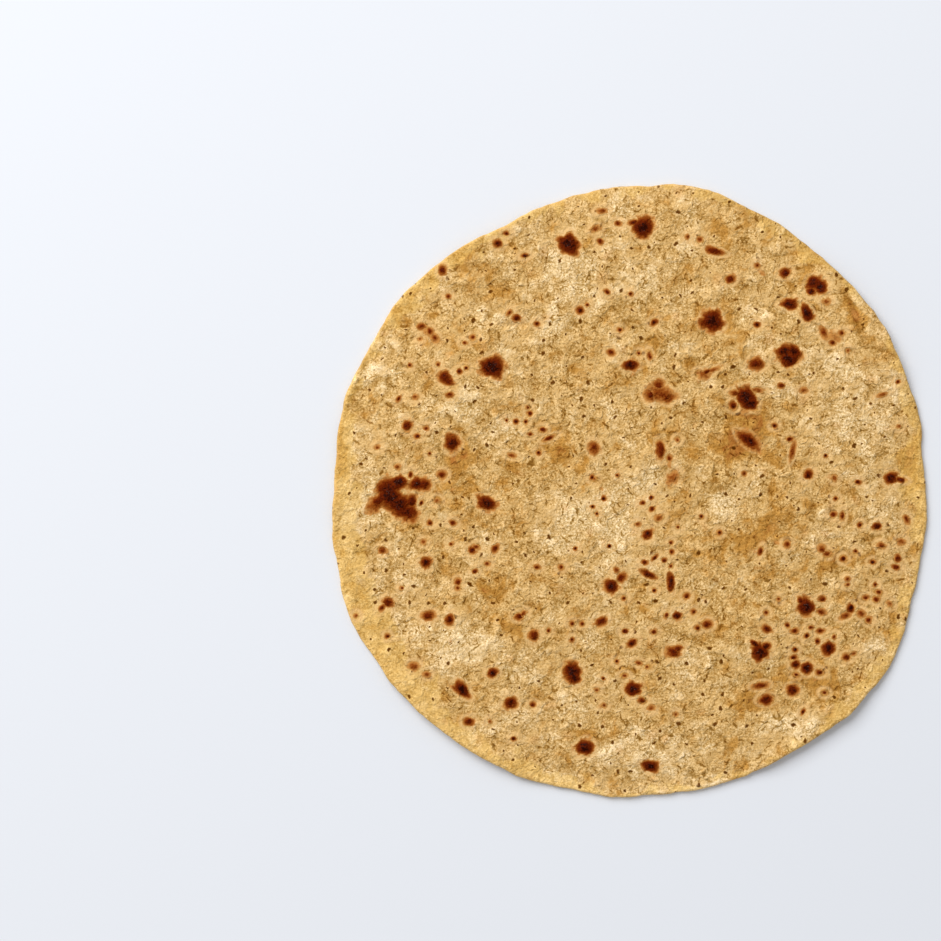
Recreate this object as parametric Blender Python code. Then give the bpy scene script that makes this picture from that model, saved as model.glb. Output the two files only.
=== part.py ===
"""Chapati flatbread: one thin, uneven disc of baked dough, lying on its underside.

Metres, +Z up. The origin is the middle of the outline's box, on the surface that the bread lies on.
The bread is soft, so its underside is flat wherever it touches that surface, and lifts off it only
where the rim curls and where steam has left a shallow tent.
"""

import math

import bmesh
import bpy
import numpy as np

MM = 0.001

# Overall size of the rolled and baked disc.
MEAN_RADIUS = 90.0 * MM
THICKNESS = 2.4 * MM
RIM_THICKNESS = 1.7 * MM
RIM_TAPER = 14.0 * MM  # how far in from the rim the bread reaches its full thickness
RIM_ROUNDING = 0.7 * MM
CRUMB_SWELL = 0.22 * MM  # how far the thickness wanders either way
CRUMB_WAVES = ((95.0, 1.3), (80.0, 0.4))  # across and up: turn for each metre, and phase, in radians

# Hand rolling leaves the outline out of round: (direction in degrees, bulge in mm, half-width in degrees).
OUTLINE_LOBES = (
    (5.0, -2.2, 13.0),
    (24.0, -0.7, 9.0),
    (77.0, 3.1, 17.0),
    (117.0, -1.9, 11.0),
    (150.0, -0.8, 9.0),
    (177.0, -1.8, 12.0),
    (207.0, 1.0, 15.0),
    (292.0, 0.4, 12.0),
    (322.0, 2.6, 13.0),
    (346.0, -1.3, 9.0),
)
# The torn, floury edge of the dough: (waves round the rim, height in mm, phase in degrees).
OUTLINE_RIPPLES = ((17, 0.18, 205.0), (23, 0.15, 95.0), (37, 0.10, 310.0))

# Where the rim curls up off the table:
# (direction in degrees, height in mm, half-width in degrees, reach in mm).
RIM_CURLS = (
    (36.0, 2.6, 17.0, 26.0),
    (118.0, 1.6, 13.0, 20.0),
    (176.0, 1.3, 15.0, 18.0),
    (232.0, 2.1, 20.0, 24.0),
    (309.0, 1.7, 16.0, 22.0),
)
CURL_GAIN = 1.6  # a curl's bell is stretched by this,
CURL_FOOT = 0.3  # and lowered by this, so that it ends in a clear foot and a flat top
# Shallow hollows under the bread: (across in mm, up in mm, height in mm, radius in mm).
STEAM_TENTS = (
    (-50.0, 34.0, 0.9, 22.0),
    (44.0, 40.0, 0.8, 20.0),
    (38.0, -44.0, 1.0, 21.0),
    (-36.0, -46.0, 0.7, 19.0),
)

# Low blisters on the upper face, scattered by a seed so that they are the same each time.
BLISTER_SEED = 11
BLISTER_COUNT = 26
BLISTER_RADIUS = (6.0 * MM, 12.0 * MM)
BLISTER_HEIGHT = (0.15 * MM, 0.55 * MM)
BLISTER_SPREAD = 0.84  # of the mean radius

GRID_CELLS = 42  # across each face of the disc
RIM_STEPS = 2  # facets in the rounding of each edge of the rim

DOUGH_COLOUR = (0.62, 0.43, 0.20, 1.0)
DOUGH_ROUGHNESS = 0.75


def turn_between(angle, direction):
    """The signed angle from a direction in degrees to an angle in radians, taken the short way round."""
    return np.mod(angle - math.radians(direction) + math.pi, 2 * math.pi) - math.pi


def rim_radius(angle):
    """Distance from the middle to the outline: a circle, a soft bump for each lobe, and fine ripples."""
    radius = np.full_like(angle, MEAN_RADIUS)
    for direction, bulge, half_width in OUTLINE_LOBES:
        share = turn_between(angle, direction) / math.radians(half_width)
        radius += bulge * MM * np.exp(-(share**2))
    for waves, height, phase in OUTLINE_RIPPLES:
        radius += height * MM * np.sin(waves * angle + math.radians(phase))
    return radius


def disc_points(cells):
    """Unit-disc angle and radius share of each point of a square grid, by the concentric map.

    Each square ring of the grid becomes a round ring, and a point keeps its share of the way along
    its side.
    """
    line = np.linspace(-1.0, 1.0, cells + 1)
    across, up = np.meshgrid(line, line)
    sideways = np.abs(across) > np.abs(up)
    far = np.where(sideways, across, up)
    near = np.where(sideways, up, across)
    slant = near / np.where(far == 0, 1.0, far) * math.pi / 4
    angle = np.where(sideways, slant, math.pi / 2 - slant) + np.where(far < 0, math.pi, 0.0)
    return angle, np.abs(far)


def smooth_step(value):
    """0 below 0, 1 above 1, and a smooth S between."""
    held = np.clip(value, 0.0, 1.0)
    return held * held * (3.0 - 2.0 * held)


def underside_height(x, y, angle, inset):
    """Height of the underside: 0 where the bread lies flat, more under curls and tents."""
    height = np.zeros_like(x)
    for direction, rise, half_width, reach in RIM_CURLS:
        share = turn_between(angle, direction) / math.radians(half_width)
        near_rim = np.clip(1.0 - inset / (reach * MM), 0.0, 1.0)
        bell = np.exp(-(share**2))
        height += rise * MM * smooth_step(CURL_GAIN * bell - CURL_FOOT) * near_rim**2
    for across, up, rise, radius in STEAM_TENTS:
        share = np.hypot(x - across * MM, y - up * MM) / (radius * MM)
        height += rise * MM * np.clip(1.0 - share**2, 0.0, 1.0) ** 2
    return height


def blisters():
    """Middle, radius and height of each blister on the upper face."""
    draw = np.random.default_rng(BLISTER_SEED)
    angle = draw.uniform(0, 2 * math.pi, BLISTER_COUNT)
    distance = BLISTER_SPREAD * MEAN_RADIUS * np.sqrt(draw.uniform(0, 1, BLISTER_COUNT))
    radius = draw.uniform(*BLISTER_RADIUS, BLISTER_COUNT)
    height = draw.uniform(*BLISTER_HEIGHT, BLISTER_COUNT)
    return zip(distance * np.cos(angle), distance * np.sin(angle), radius, height)


def bread_thickness(x, y, inset):
    """Thickness of the bread: thinner at the rim, wandering a little, with a low dome at each blister."""
    full = smooth_step(inset / RIM_TAPER)
    thickness = RIM_THICKNESS + (THICKNESS - RIM_THICKNESS) * full
    (turn_x, phase_x), (turn_y, phase_y) = CRUMB_WAVES
    thickness += CRUMB_SWELL * full * np.sin(turn_x * x + phase_x) * np.sin(turn_y * y + phase_y)
    for across, up, radius, height in blisters():
        share = np.hypot(x - across, y - up) / radius
        thickness += height * full * np.clip(1.0 - share**2, 0.0, 1.0) ** 2
    return thickness


def add_face_sheet(mesh, upper):
    """Adds one face of the bread as a grid warped onto the outline, and returns its rim edges."""
    made = bmesh.ops.create_grid(mesh, x_segments=GRID_CELLS, y_segments=GRID_CELLS, size=1.0)
    verts = sorted(made["verts"], key=lambda v: (round(v.co.y, 6), round(v.co.x, 6)))
    angle, share = (a.ravel() for a in disc_points(GRID_CELLS))
    distance = share * rim_radius(angle)
    x, y = distance * np.cos(angle), distance * np.sin(angle)
    inset = rim_radius(angle) - distance
    z = underside_height(x, y, angle, inset)
    if upper:
        z = z + bread_thickness(x, y, inset)
    for vert, place in zip(verts, zip(x, y, z)):
        vert.co = place
    faces = {face for vert in verts for face in vert.link_faces}
    if not upper:
        bmesh.ops.reverse_faces(mesh, faces=list(faces))
    return [edge for face in faces for edge in face.edges if edge.is_boundary]


def bread_mesh():
    """The closed disc: two sheets bridged round the rim, with both edges of the rim rounded."""
    mesh = bmesh.new()
    upper_rim = add_face_sheet(mesh, upper=True)
    lower_rim = add_face_sheet(mesh, upper=False)
    bmesh.ops.bridge_loops(mesh, edges=upper_rim + lower_rim)
    bmesh.ops.bevel(
        mesh,
        geom=upper_rim + lower_rim,
        offset=RIM_ROUNDING,
        offset_type="OFFSET",
        segments=RIM_STEPS,
        profile=0.5,
        affect="EDGES",
    )
    bmesh.ops.recalc_face_normals(mesh, faces=mesh.faces)
    return mesh


def centre_on_origin(mesh):
    """Moves the middle of the outline's box to the origin, leaving the height alone."""
    places = np.array([vert.co for vert in mesh.verts])
    middle = (places.min(axis=0) + places.max(axis=0)) / 2
    bmesh.ops.translate(mesh, verts=mesh.verts, vec=(-middle[0], -middle[1], 0.0))


def dough_material():
    material = bpy.data.materials.new("baked_dough")
    material.use_nodes = True
    shader = material.node_tree.nodes["Principled BSDF"]
    shader.inputs["Base Color"].default_value = DOUGH_COLOUR
    shader.inputs["Roughness"].default_value = DOUGH_ROUGHNESS
    shader.inputs["Metallic"].default_value = 0.0
    return material


def make_chapati():
    mesh = bread_mesh()
    centre_on_origin(mesh)
    data = bpy.data.meshes.new("chapati")
    mesh.to_mesh(data)
    mesh.free()
    data.shade_smooth()
    data.materials.append(dough_material())
    bread = bpy.data.objects.new("chapati", data)
    bpy.context.scene.collection.objects.link(bread)
    return bread


def main():
    for old in list(bpy.data.objects):
        bpy.data.objects.remove(old)
    make_chapati()


main()
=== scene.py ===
"""Chapati flatbread: the baked crust of one hand-rolled bread, on a plain pale floor.

The bread is one closed mesh. Its shape is worked out from a few named sizes and listed marks, and its
crust is drawn by node groups that both faces share, each with its own values.
Lengths in the lists of marks are in millimetres from the pole of the outline, +X across and +Y up the bread.
"""

import math

import bpy
import numpy as np
from bpy.props import FloatProperty, FloatVectorProperty, PointerProperty
from bpy.types import Operator, Panel, PropertyGroup
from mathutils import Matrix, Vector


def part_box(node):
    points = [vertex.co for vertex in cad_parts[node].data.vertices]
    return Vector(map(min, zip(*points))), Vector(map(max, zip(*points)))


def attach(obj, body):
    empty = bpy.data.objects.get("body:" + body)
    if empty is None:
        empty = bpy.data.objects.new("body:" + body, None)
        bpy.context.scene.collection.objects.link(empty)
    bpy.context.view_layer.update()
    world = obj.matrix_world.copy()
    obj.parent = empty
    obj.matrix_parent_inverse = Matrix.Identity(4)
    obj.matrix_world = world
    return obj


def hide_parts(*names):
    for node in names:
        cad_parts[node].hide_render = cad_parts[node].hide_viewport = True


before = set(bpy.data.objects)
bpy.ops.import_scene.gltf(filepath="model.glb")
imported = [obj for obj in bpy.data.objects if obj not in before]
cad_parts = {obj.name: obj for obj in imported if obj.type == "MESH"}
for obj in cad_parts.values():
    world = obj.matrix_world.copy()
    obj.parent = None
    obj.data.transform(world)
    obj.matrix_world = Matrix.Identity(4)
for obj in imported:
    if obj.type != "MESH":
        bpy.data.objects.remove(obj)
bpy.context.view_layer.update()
BREAD_LOW, BREAD_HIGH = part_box("chapati")

bl_info = {
    "name": "Chapati Flatbread",
    "version": (1, 0, 0),
    "blender": (4, 5, 0),
    "location": "View3D > Sidebar > Chapati",
    "description": "Builds a griddle-baked chapati with its burn spots, blisters and floury crust",
    "category": "Add Mesh",
}

MM = 0.001

# ---- The shape of the dough: the sizes that the solid bread was made from ----

MEAN_RADIUS = 90.0 * MM
RIM_TAPER = 14.0 * MM  # how far in from the rim the bread reaches its full thickness
CRUMB_SWELL = 0.22 * MM  # how far the thickness wanders either way
CRUMB_WAVES = ((95.0, 1.3), (80.0, 0.4))  # across and up: turn for each metre, and phase, in radians

# Bulges of the outline: (direction in degrees, bulge, half-width in degrees).
OUTLINE_LOBES = (
    (5, -2.2, 13), (24, -0.7, 9), (77, 3.1, 17), (117, -1.9, 11), (150, -0.8, 9), (177, -1.8, 12),
    (207, 1, 15), (292, 0.4, 12), (322, 2.6, 13), (346, -1.3, 9),
)
# Ripples of the floury edge: (waves round the rim, height, phase in degrees).
OUTLINE_RIPPLES = ((17, 0.18, 205.0), (23, 0.15, 95.0), (37, 0.10, 310.0))

# Where the rim curls up: (direction in degrees, height, half-width in degrees, reach).
RIM_CURLS = (
    (36, 2.6, 17, 26), (118, 1.6, 13, 20), (176, 1.3, 15, 18), (232, 2.1, 20, 24), (309, 1.7, 16, 22),
)
CURL_GAIN = 1.6  # a curl's bell is stretched by this,
CURL_FOOT = 0.3  # and lowered by this, so that it ends in a clear foot and a flat top
# Shallow hollows under the bread: (across, up, height, radius).
STEAM_TENTS = (
    (-50, 34, 0.9, 22), (44, 40, 0.8, 20), (38, -44, 1, 21), (-36, -46, 0.7, 19),
)

BLISTER_SEED = 11
BLISTER_COUNT = 26
BLISTER_RADIUS = (6.0 * MM, 12.0 * MM)
BLISTER_HEIGHT = (0.15 * MM, 0.55 * MM)
BLISTER_SPREAD = 0.84  # of the mean radius

# ---- The marks of baking on the upper face ----

# Width of the smooth golden band inside the rim: (direction in degrees, width, half-width in degrees).
RIM_BANDS = (
    (178, 5, 26), (216, 8, 24), (128, 2.5, 22), (252, 3, 16), (4, 6, 14), (322, 3.5, 14), (60, 2.5, 14),
)
# Darker and paler stretches of the outermost rim: (direction in degrees, darkness, half-width in degrees).
# The darker stretches are partly browning and partly painted shade, and the paler one at the bottom is
# painted light that lifts the lamp's shade on the rim there.
RIM_BROWNING_AND_PAINTED_LIGHT = (
    (46, 0.7, 9), (63, 0.45, 9), (14, 0.35, 9), (158, 0.3, 10), (276, -0.8, 18), (315, 0.25, 8),
)

# Burn spots: (across, up, length, width, turn in degrees, char from 0, scorched orange, to 1, black).
BURNS = (
    # top of the bread
    (3.6, 79.2, 5.6, 5, 20, 1), (0.9, 80.6, 2.4, 1.4, 10, 0.8), (-18.5, 74.3, 5, 5.3, 0, 1),
    (-8.7, 84, 2.4, 1.4, 5, 0.5), (-10.6, 78.7, 2.3, 1.4, 15, 0.5), (-4, 80.3, 1.8, 1.4, -15, 0.62),
    (-9.2, 75, 1.3, 1.4, 0, 0.8), (20.3, 75.5, 1.7, 1.5, 0, 0.5), (24.8, 72.1, 4.8, 1.9, -18, 0.78),
    (-39.5, 74.3, 2.1, 1.8, 0, 0.75), (-37, 77.2, 1.2, 0.9, 0, 0.8), (-31.6, 70.6, 1.3, 0.8, 10, 0.9),
    # upper left
    (-56, 66.3, 2.2, 1.7, 90, 0.8), (-34, 52.1, 1.9, 1.5, 0, 0.8), (-36.2, 53.7, 1.5, 0.9, 45, 0.6),
    (-28, 50.5, 1, 0.9, 0, 0.9), (-41.2, 37.8, 6, 5.7, 0, 1), (-55.3, 34.6, 3.2, 2.8, -38, 0.85),
    (-54.2, 33.4, 2.6, 2, -30, 0.85), (-54, 29.4, 1.9, 1.3, 0, 0.7), (-51, 36.4, 1.1, 1, 0, 0.9),
    (-49, 37.3, 1, 0.9, 0, 0.8), (-64.2, 28.7, 1.4, 1.2, 0, 0.45), (-69, 28.3, 1.4, 0.8, 60, 0.75),
    (-62.2, 49.7, 2.2, 1.4, 10, 0.68), (-59.8, 48.3, 1.8, 1.5, -40, 0.66), (-58.3, 46.3, 2, 1.5, -50, 0.55),
    (-49.5, 44.8, 1.2, 1, 0, 0.6), (-47, 46.5, 1.3, 1, 30, 0.6), (-66.5, 20.2, 2.2, 2.7, 0, 0.78),
    (-61, 19.4, 1.3, 1.1, 0, 0.6), (-63.4, 17, 1.2, 1, 0, 0.9), (-53.2, 15.2, 3.7, 3.9, 0, 0.88),
    (-75.3, 13.7, 1.3, 1.1, 0, 0.5), (-35.5, 11.4, 2, 1.1, -15, 0.5), (-24.3, 16.6, 3.2, 1.1, 25, 0.62),
    (-26.3, 19.1, 1.5, 1.2, 0, 0.8), (-30, 23.9, 1.3, 1.2, 0, 0.8), (-34.2, 21.5, 1.1, 1, 0, 0.9),
    (-30, 17.7, 1.1, 1, 0, 0.8),
    # upper middle
    (-15.2, 54.5, 1.6, 1.5, 0, 0.8), (-7.1, 59.9, 1.5, 1.1, -30, 0.7), (-0.2, 59.4, 1.2, 1, 0, 0.6),
    (6.8, 51, 1.8, 1.3, 40, 0.95), (-3.3, 48.7, 1.2, 1.1, 0, 0.7), (-6, 42, 1.8, 1.4, -20, 0.7),
    (5.5, 41, 2.2, 1.1, 100, 0.6), (-0.2, 38.2, 3.5, 2.5, 0, 1), (8.6, 29.8, 7.2, 4.4, -10, 0.52),
    (8.2, 32.2, 2.6, 3.2, 8, 0.6), (10.6, 28.8, 3.6, 2.8, -30, 0.7), (6, 29.4, 3.2, 3, 0, 0.66),
    (24, 51.4, 5.7, 5.4, 0, 1), (8.7, 13, 4.9, 2.2, 95, 0.75), (11.3, 10.5, 1.7, 1.4, -60, 0.55),
    (12.8, 5.2, 3, 2.4, 40, 0.34), (-11, 13.6, 3.3, 2.5, 105, 0.64), (-11, 4.5, 1.2, 1.1, 0, 0.45),
    # upper right
    (29.3, 63.7, 2.4, 2, 20, 0.76), (45.8, 65.6, 2.5, 2, 20, 0.92), (47, 56.4, 3.9, 2.7, 0, 1),
    (52.1, 53.6, 4.4, 2.5, -70, 1), (54.2, 62.7, 3.8, 2.8, 15, 1), (56.2, 61.4, 3.3, 3, 0, 1),
    (53.4, 60, 1.9, 1.9, 0, 0.95), (57.8, 57, 1.8, 1.5, 0, 0.42), (37.3, 50.3, 1.3, 1.2, 0, 0.95),
    (57.2, 47.7, 3.3, 1.7, -64, 0.52), (62.4, 47.7, 1.5, 1.2, 0, 0.6), (59.7, 44.9, 1.3, 1.2, 0, 0.75),
    (45.2, 42.4, 3.8, 2.6, 30, 0.92), (48.4, 42.2, 3.6, 2.7, -35, 0.92), (46.8, 40, 5.2, 3.8, 0, 0.98),
    (37.2, 38.6, 3.9, 3.3, 0, 0.74), (22.5, 36.2, 2, 1, 25, 0.75), (24.4, 36.8, 3.6, 1.1, 22, 0.42),
    (19.9, 35.9, 1.1, 1, 0, 0.4), (34, 28.7, 5, 5.4, 0, 1), (35.6, 27, 3.6, 3, -30, 1),
    (30.8, 29.9, 2.6, 1.6, 0, 0.6), (37.4, 30.7, 3.4, 1.4, -8, 0.45), (30.4, 26.2, 1.9, 2, 0, 0.8),
    (34.4, 16.3, 5.4, 3, -36, 0.8), (35.2, 15.7, 4.4, 2.1, -38, 0.98), (44.5, 32.2, 1.5, 1.2, 0, 0.75),
    (51.2, 30.7, 1.8, 1.3, 10, 0.52), (74.5, 29.4, 2.5, 1.2, 20, 0.44), (79.5, 20, 1.3, 1, 0, 0.5),
    (47, 16.2, 1.6, 1.2, 15, 0.85), (47.9, 12.6, 4.4, 1.3, 78, 0.55), (42.5, 20.2, 1, 0.9, 0, 0.9),
    # right
    (52.5, 5.7, 2.5, 2, 35, 0.82), (60.3, 4.7, 1.6, 1.4, -60, 0.52), (67.2, 3.5, 1.4, 1.1, -10, 0.9),
    (77.2, 4.7, 3.2, 3, 0, 0.92), (80, 4.2, 2.6, 1.2, -12, 0.8), (60, -6.2, 1.8, 1.4, 0, 0.62),
    (62.7, -6.4, 2.2, 1.2, 85, 0.55), (67.9, -9.3, 1, 1, 0, 0.9), (73, -9.6, 2.2, 1.9, 0, 0.85),
    (81.8, -7.5, 2.1, 1.3, -70, 0.6), (74.3, -15.3, 1.9, 1.5, -20, 0.52), (80.2, -14.2, 1.9, 1.6, 0, 0.52),
    (79.2, -19.2, 2.1, 1.6, 80, 0.75), (78.7, -21.8, 2, 1.3, -10, 0.68), (46.2, -15, 1.7, 1.5, 0, 0.65),
    (38.4, -17, 1.8, 1, 70, 0.85), (56.7, -16.5, 2, 1.9, 0, 0.55), (58.1, -17.8, 1.9, 1.5, 0, 0.58),
    (63, -19.2, 1.4, 1.3, 0, 0.9), (71.7, -20.3, 1.1, 1, 0, 0.9), (64.2, -25.3, 1.1, 1, 0, 0.6),
    (64.3, -27, 1, 0.9, 0, 0.6),
    # lower right, where they lie closest
    (73.5, -29.2, 1.5, 1, -15, 0.62), (69.7, -30.9, 1.4, 1.1, 0, 0.7), (72.7, -31.4, 1.5, 1.3, -20, 0.75),
    (76.8, -32.7, 1.8, 1.4, -40, 0.42), (51.9, -33.4, 4.2, 4.4, 0, 1), (50.3, -31.8, 2, 1.6, -40, 0.8),
    (56.7, -31.3, 1.8, 1.4, 0, 0.75), (56.3, -35, 2.3, 1.5, -15, 0.62), (65.3, -34, 2, 1.5, 80, 1),
    (63.6, -36.3, 2.6, 1.3, 25, 0.62), (68.4, -35.6, 2.1, 1.7, -40, 0.5), (70.4, -37.5, 1.8, 1.5, 0, 0.58),
    (40.3, -40, 2.2, 1.7, -20, 0.75), (46.3, -39, 1.3, 1, 0, 0.7), (48.4, -40.7, 1.6, 1.3, 0, 0.75),
    (53.3, -39.7, 1.4, 1, 0, 0.6), (56.2, -40.7, 1.8, 1.1, 0, 0.7), (52, -42.2, 1.3, 1, 60, 0.9),
    (55.2, -43.8, 1, 1, 0, 0.9), (60.2, -42.5, 1.3, 1, 60, 0.6), (38.2, -46.9, 4.3, 3.9, 0, 1),
    (36.6, -44.5, 3, 1.2, -38, 0.9), (39.9, -45.2, 2.4, 1.8, 20, 0.9), (58.6, -45.8, 2.9, 3.2, 0, 1),
    (48.6, -46.2, 1, 0.9, 0, 0.95), (48.1, -48.6, 1.6, 1.1, 0, 0.85), (48.7, -50.6, 2, 1.8, 0, 0.9),
    (52.1, -51.7, 2.5, 2.7, 0, 1), (63.9, -48.5, 2.1, 1.6, 10, 0.65), (66, -47.5, 1.5, 0.8, 25, 0.5),
    (56, -53, 1.7, 1.3, 0, 0.85), (48.9, -53.7, 1.1, 0.8, 0, 0.7), (38.3, -56.9, 3.4, 1.7, 8, 0.62),
    (40, -61.1, 3.3, 2.3, 5, 0.85), (47.9, -58.2, 2.5, 2.2, 0, 0.92), (57.3, -59, 1.2, 1, 0, 0.55),
    (51, -64.7, 1.4, 0.9, 60, 0.9),
    # middle and lower middle
    (3.5, -2.7, 1.3, 1.1, 0, 0.72), (6.2, -4.4, 1.4, 1.2, 0, 0.8), (8.3, -7.2, 2.3, 1.7, 20, 0.42),
    (2, -9, 1.2, 1, 0, 0.5), (4.8, -12, 2.7, 2.1, 40, 0.88), (-6.5, -15.5, 1, 0.9, 0, 0.95),
    (7, -19, 1.6, 0.8, 45, 0.8), (4, -20.3, 1.4, 1.1, 0, 0.85), (9.8, -19.8, 1.3, 1.1, 0, 0.8),
    (5.3, -24, 4.4, 1.6, -28, 0.82), (11.8, -26.2, 4.4, 1.9, 97, 0.88), (-5.8, -27.4, 3.4, 3.2, 0, 1),
    (-3, -25, 2.6, 1.9, 45, 0.7), (-4.4, -22.6, 1.3, 1.2, 0, 0.65), (16.4, -30.4, 1.5, 1.4, 0, 0.75),
    (13.6, -36.2, 2.2, 1.9, 0, 0.88), (10.5, -36, 1.4, 1.1, 80, 0.65), (18.5, -35, 1.1, 1, 0, 0.7),
    (22.4, -38.7, 2.4, 2, 0, 0.7), (19.7, -39.9, 1.2, 1.1, 0, 0.8), (12.4, -47, 3.2, 2.8, 0, 0.75),
    (13.6, -46.1, 2.8, 1.5, 25, 0.75), (-9, -37.9, 3, 1.9, 15, 0.8), (0.2, -44.3, 2.7, 1.7, 32, 0.78),
    (6.8, -41, 1.4, 1.3, 0, 0.65), (-1.8, -40.8, 1.7, 1.3, 0, 0.8), (-17.5, -38.5, 1.2, 1.1, 0, 0.7),
    (0.6, -57.8, 3.8, 3.7, 0, 1), (3.2, -61.3, 2, 1.5, -15, 0.7), (5.8, -63.6, 1.6, 1.4, 0, 0.52),
    (2.2, -50.2, 1.6, 1, -20, 0.6), (-2, -54, 1.4, 1, 0, 0.52), (-17.4, -52.4, 4.4, 3.6, 0, 1),
    (-17, -54.6, 3.4, 3, 0, 0.95), (-13.8, -75.3, 4.4, 3.8, 0, 1), (5.7, -80.8, 3.7, 2.6, -5, 1),
    # lower left
    (-50.2, -57.9, 4.5, 2.8, -45, 1), (-41.2, -53.1, 2.3, 2, 0, 1), (-35.9, -62.1, 3.1, 2.9, 0, 0.88),
    (-48.2, -67.6, 2.4, 2, 0, 0.75), (-29.3, -62.7, 1.2, 1.1, 0, 0.85), (-35, -72.6, 1.2, 1, 0, 0.9),
    (-64.5, -51.1, 2.5, 2.1, 0, 0.5), (-60.7, -53.5, 1.6, 1.4, 0, 0.5), (-60.2, -36.2, 3.1, 2.2, 10, 0.7),
    (-53.8, -37.2, 2.3, 2.6, 0, 0.8), (-72.2, -32.3, 2.6, 2.4, 0, 0.78), (-74, -33.8, 2.2, 1.3, 50, 0.62),
    (-33.2, -36.4, 2.2, 1.6, 0, 0.8), (-32, -35.6, 1.6, 1.2, 40, 0.7), (-28.9, -42, 2.4, 2.9, 0, 0.72),
    (-72.3, -42.3, 1, 1, 0, 0.9), (-28, -21.8, 1.4, 1.1, 0, 0.62), (-20.8, -21.8, 1.1, 1, 0, 0.62),
    (-51.4, -26.3, 1.5, 1.3, 90, 0.78), (-51.5, -27.9, 1.2, 1.1, 0, 0.5),
    # left
    (-72.2, 1.4, 6.6, 5.2, 60, 0.92), (-69, 3.4, 4, 3.5, 0, 1), (-63.7, 3, 3.4, 3.2, 0, 0.9),
    (-61.5, 2.8, 3.2, 3, 0, 0.8), (-71.4, -0.8, 7.8, 5.6, -35, 0.94), (-69, -3.2, 6.4, 5.4, -35, 0.92),
    (-66.6, -5.2, 5.6, 4.2, -15, 0.86), (-65.3, -2.3, 3.2, 2.4, 60, 0.85), (-75.2, -2.2, 4.2, 3, 40, 0.72),
    (-65.5, 5.7, 1.8, 1.3, 80, 0.62), (-69.5, 8, 1.6, 1.3, 0, 0.5), (-62.3, -2.7, 1.3, 0.9, 60, 0.95),
    (-56.2, 5.6, 2.1, 1.8, 20, 0.62), (-57.7, -2, 1.7, 1.5, 0, 0.36), (-43, -2.7, 4.7, 3.6, -32, 0.96),
    (-59.7, -8.6, 1.2, 1.1, 0, 0.8), (-53, -8.6, 1.5, 1.2, 0, 0.75), (-61.7, -14.3, 1.2, 1.1, 0, 0.52),
    (-53.5, -15, 1.2, 1.1, 0, 0.52), (-47.2, -16.8, 1.8, 1.6, 0, 0.84), (-46, -15.8, 1.8, 1.3, 0, 0.55),
    (-40.3, -16.2, 1.8, 1.3, 60, 0.8), (-46.4, -23, 1.2, 1.1, 0, 0.9), (-42.8, -20.7, 1.2, 1.1, 0, 0.55),
    (-73.9, -16.7, 2.1, 1.9, 0, 0.62), (-61, -20.5, 2.6, 2.6, 0, 0.86),
)
# Small round spots: (across, up, size, char).
DOTS = (
    (-54.3, 58.7, 1, 0.7), (-57.3, 38.3, 0.8, 0.7), (-65.8, 38.2, 0.9, 0.7), (-59.8, 12, 0.8, 0.7),
    (-31.3, 21.4, 0.8, 0.8), (-37, 21.8, 0.7, 0.7), (-27.5, 12.2, 0.9, 0.9), (-30.6, 25.6, 0.7, 0.7),
    (16.8, 76.3, 1, 0.6), (-13, 56.1, 0.8, 0.7), (2.3, 41.7, 0.8, 0.9), (64.3, 42.5, 0.9, 0.5),
    (79, 33.2, 0.8, 0.8), (57.7, 11.4, 0.8, 0.9), (33.5, 6, 0.9, 0.7), (60.7, -1.4, 0.8, 0.9),
    (66.7, -17, 0.7, 0.9), (72.5, -27, 0.8, 0.9), (43.7, -31.2, 0.8, 0.6), (40, -35.2, 0.9, 0.7),
    (-4.2, 5.5, 0.6, 0.8), (13.7, 16, 1, 0.5), (26.2, -11.5, 0.9, 0.9), (12, -17.2, 0.9, 0.9),
    (-14.5, -38.6, 0.9, 0.7), (-24.6, -40.6, 0.8, 0.8), (-17.6, -43.2, 0.9, 0.8), (-68, -28, 0.9, 0.6),
    (-81.7, -36.2, 0.9, 0.6), (-42, -67.6, 1, 0.45), (-10.2, -58.3, 1, 0.5), (4.7, -51.4, 0.9, 0.6),
    (-8.3, -54.8, 0.7, 0.9), (-4.3, -49.7, 0.8, 0.9), (-8, -62.8, 0.9, 0.6), (13.2, -65.5, 0.9, 0.5),
    (-62.7, 46, 0.7, 0.5), (-11.6, 4.8, 1.1, 0.8), (-8.3, -1.4, 1, 0.9), (-11.5, -3.8, 0.7, 1),
    (-10.2, -5.9, 0.7, 1), (5.9, -1.1, 0.8, 0.9), (-16.6, -16.2, 0.7, 0.9), (20.8, -6.7, 0.7, 0.9),
    (11.8, -14.5, 0.9, 0.8), (13.9, -9.9, 0.8, 0.7), (11.8, -21.5, 1, 0.7), (6.8, -28.7, 0.9, 0.9),
    (-2.1, -31, 1, 0.8), (37.4, 67.8, 1.1, 0.6),
)
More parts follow.
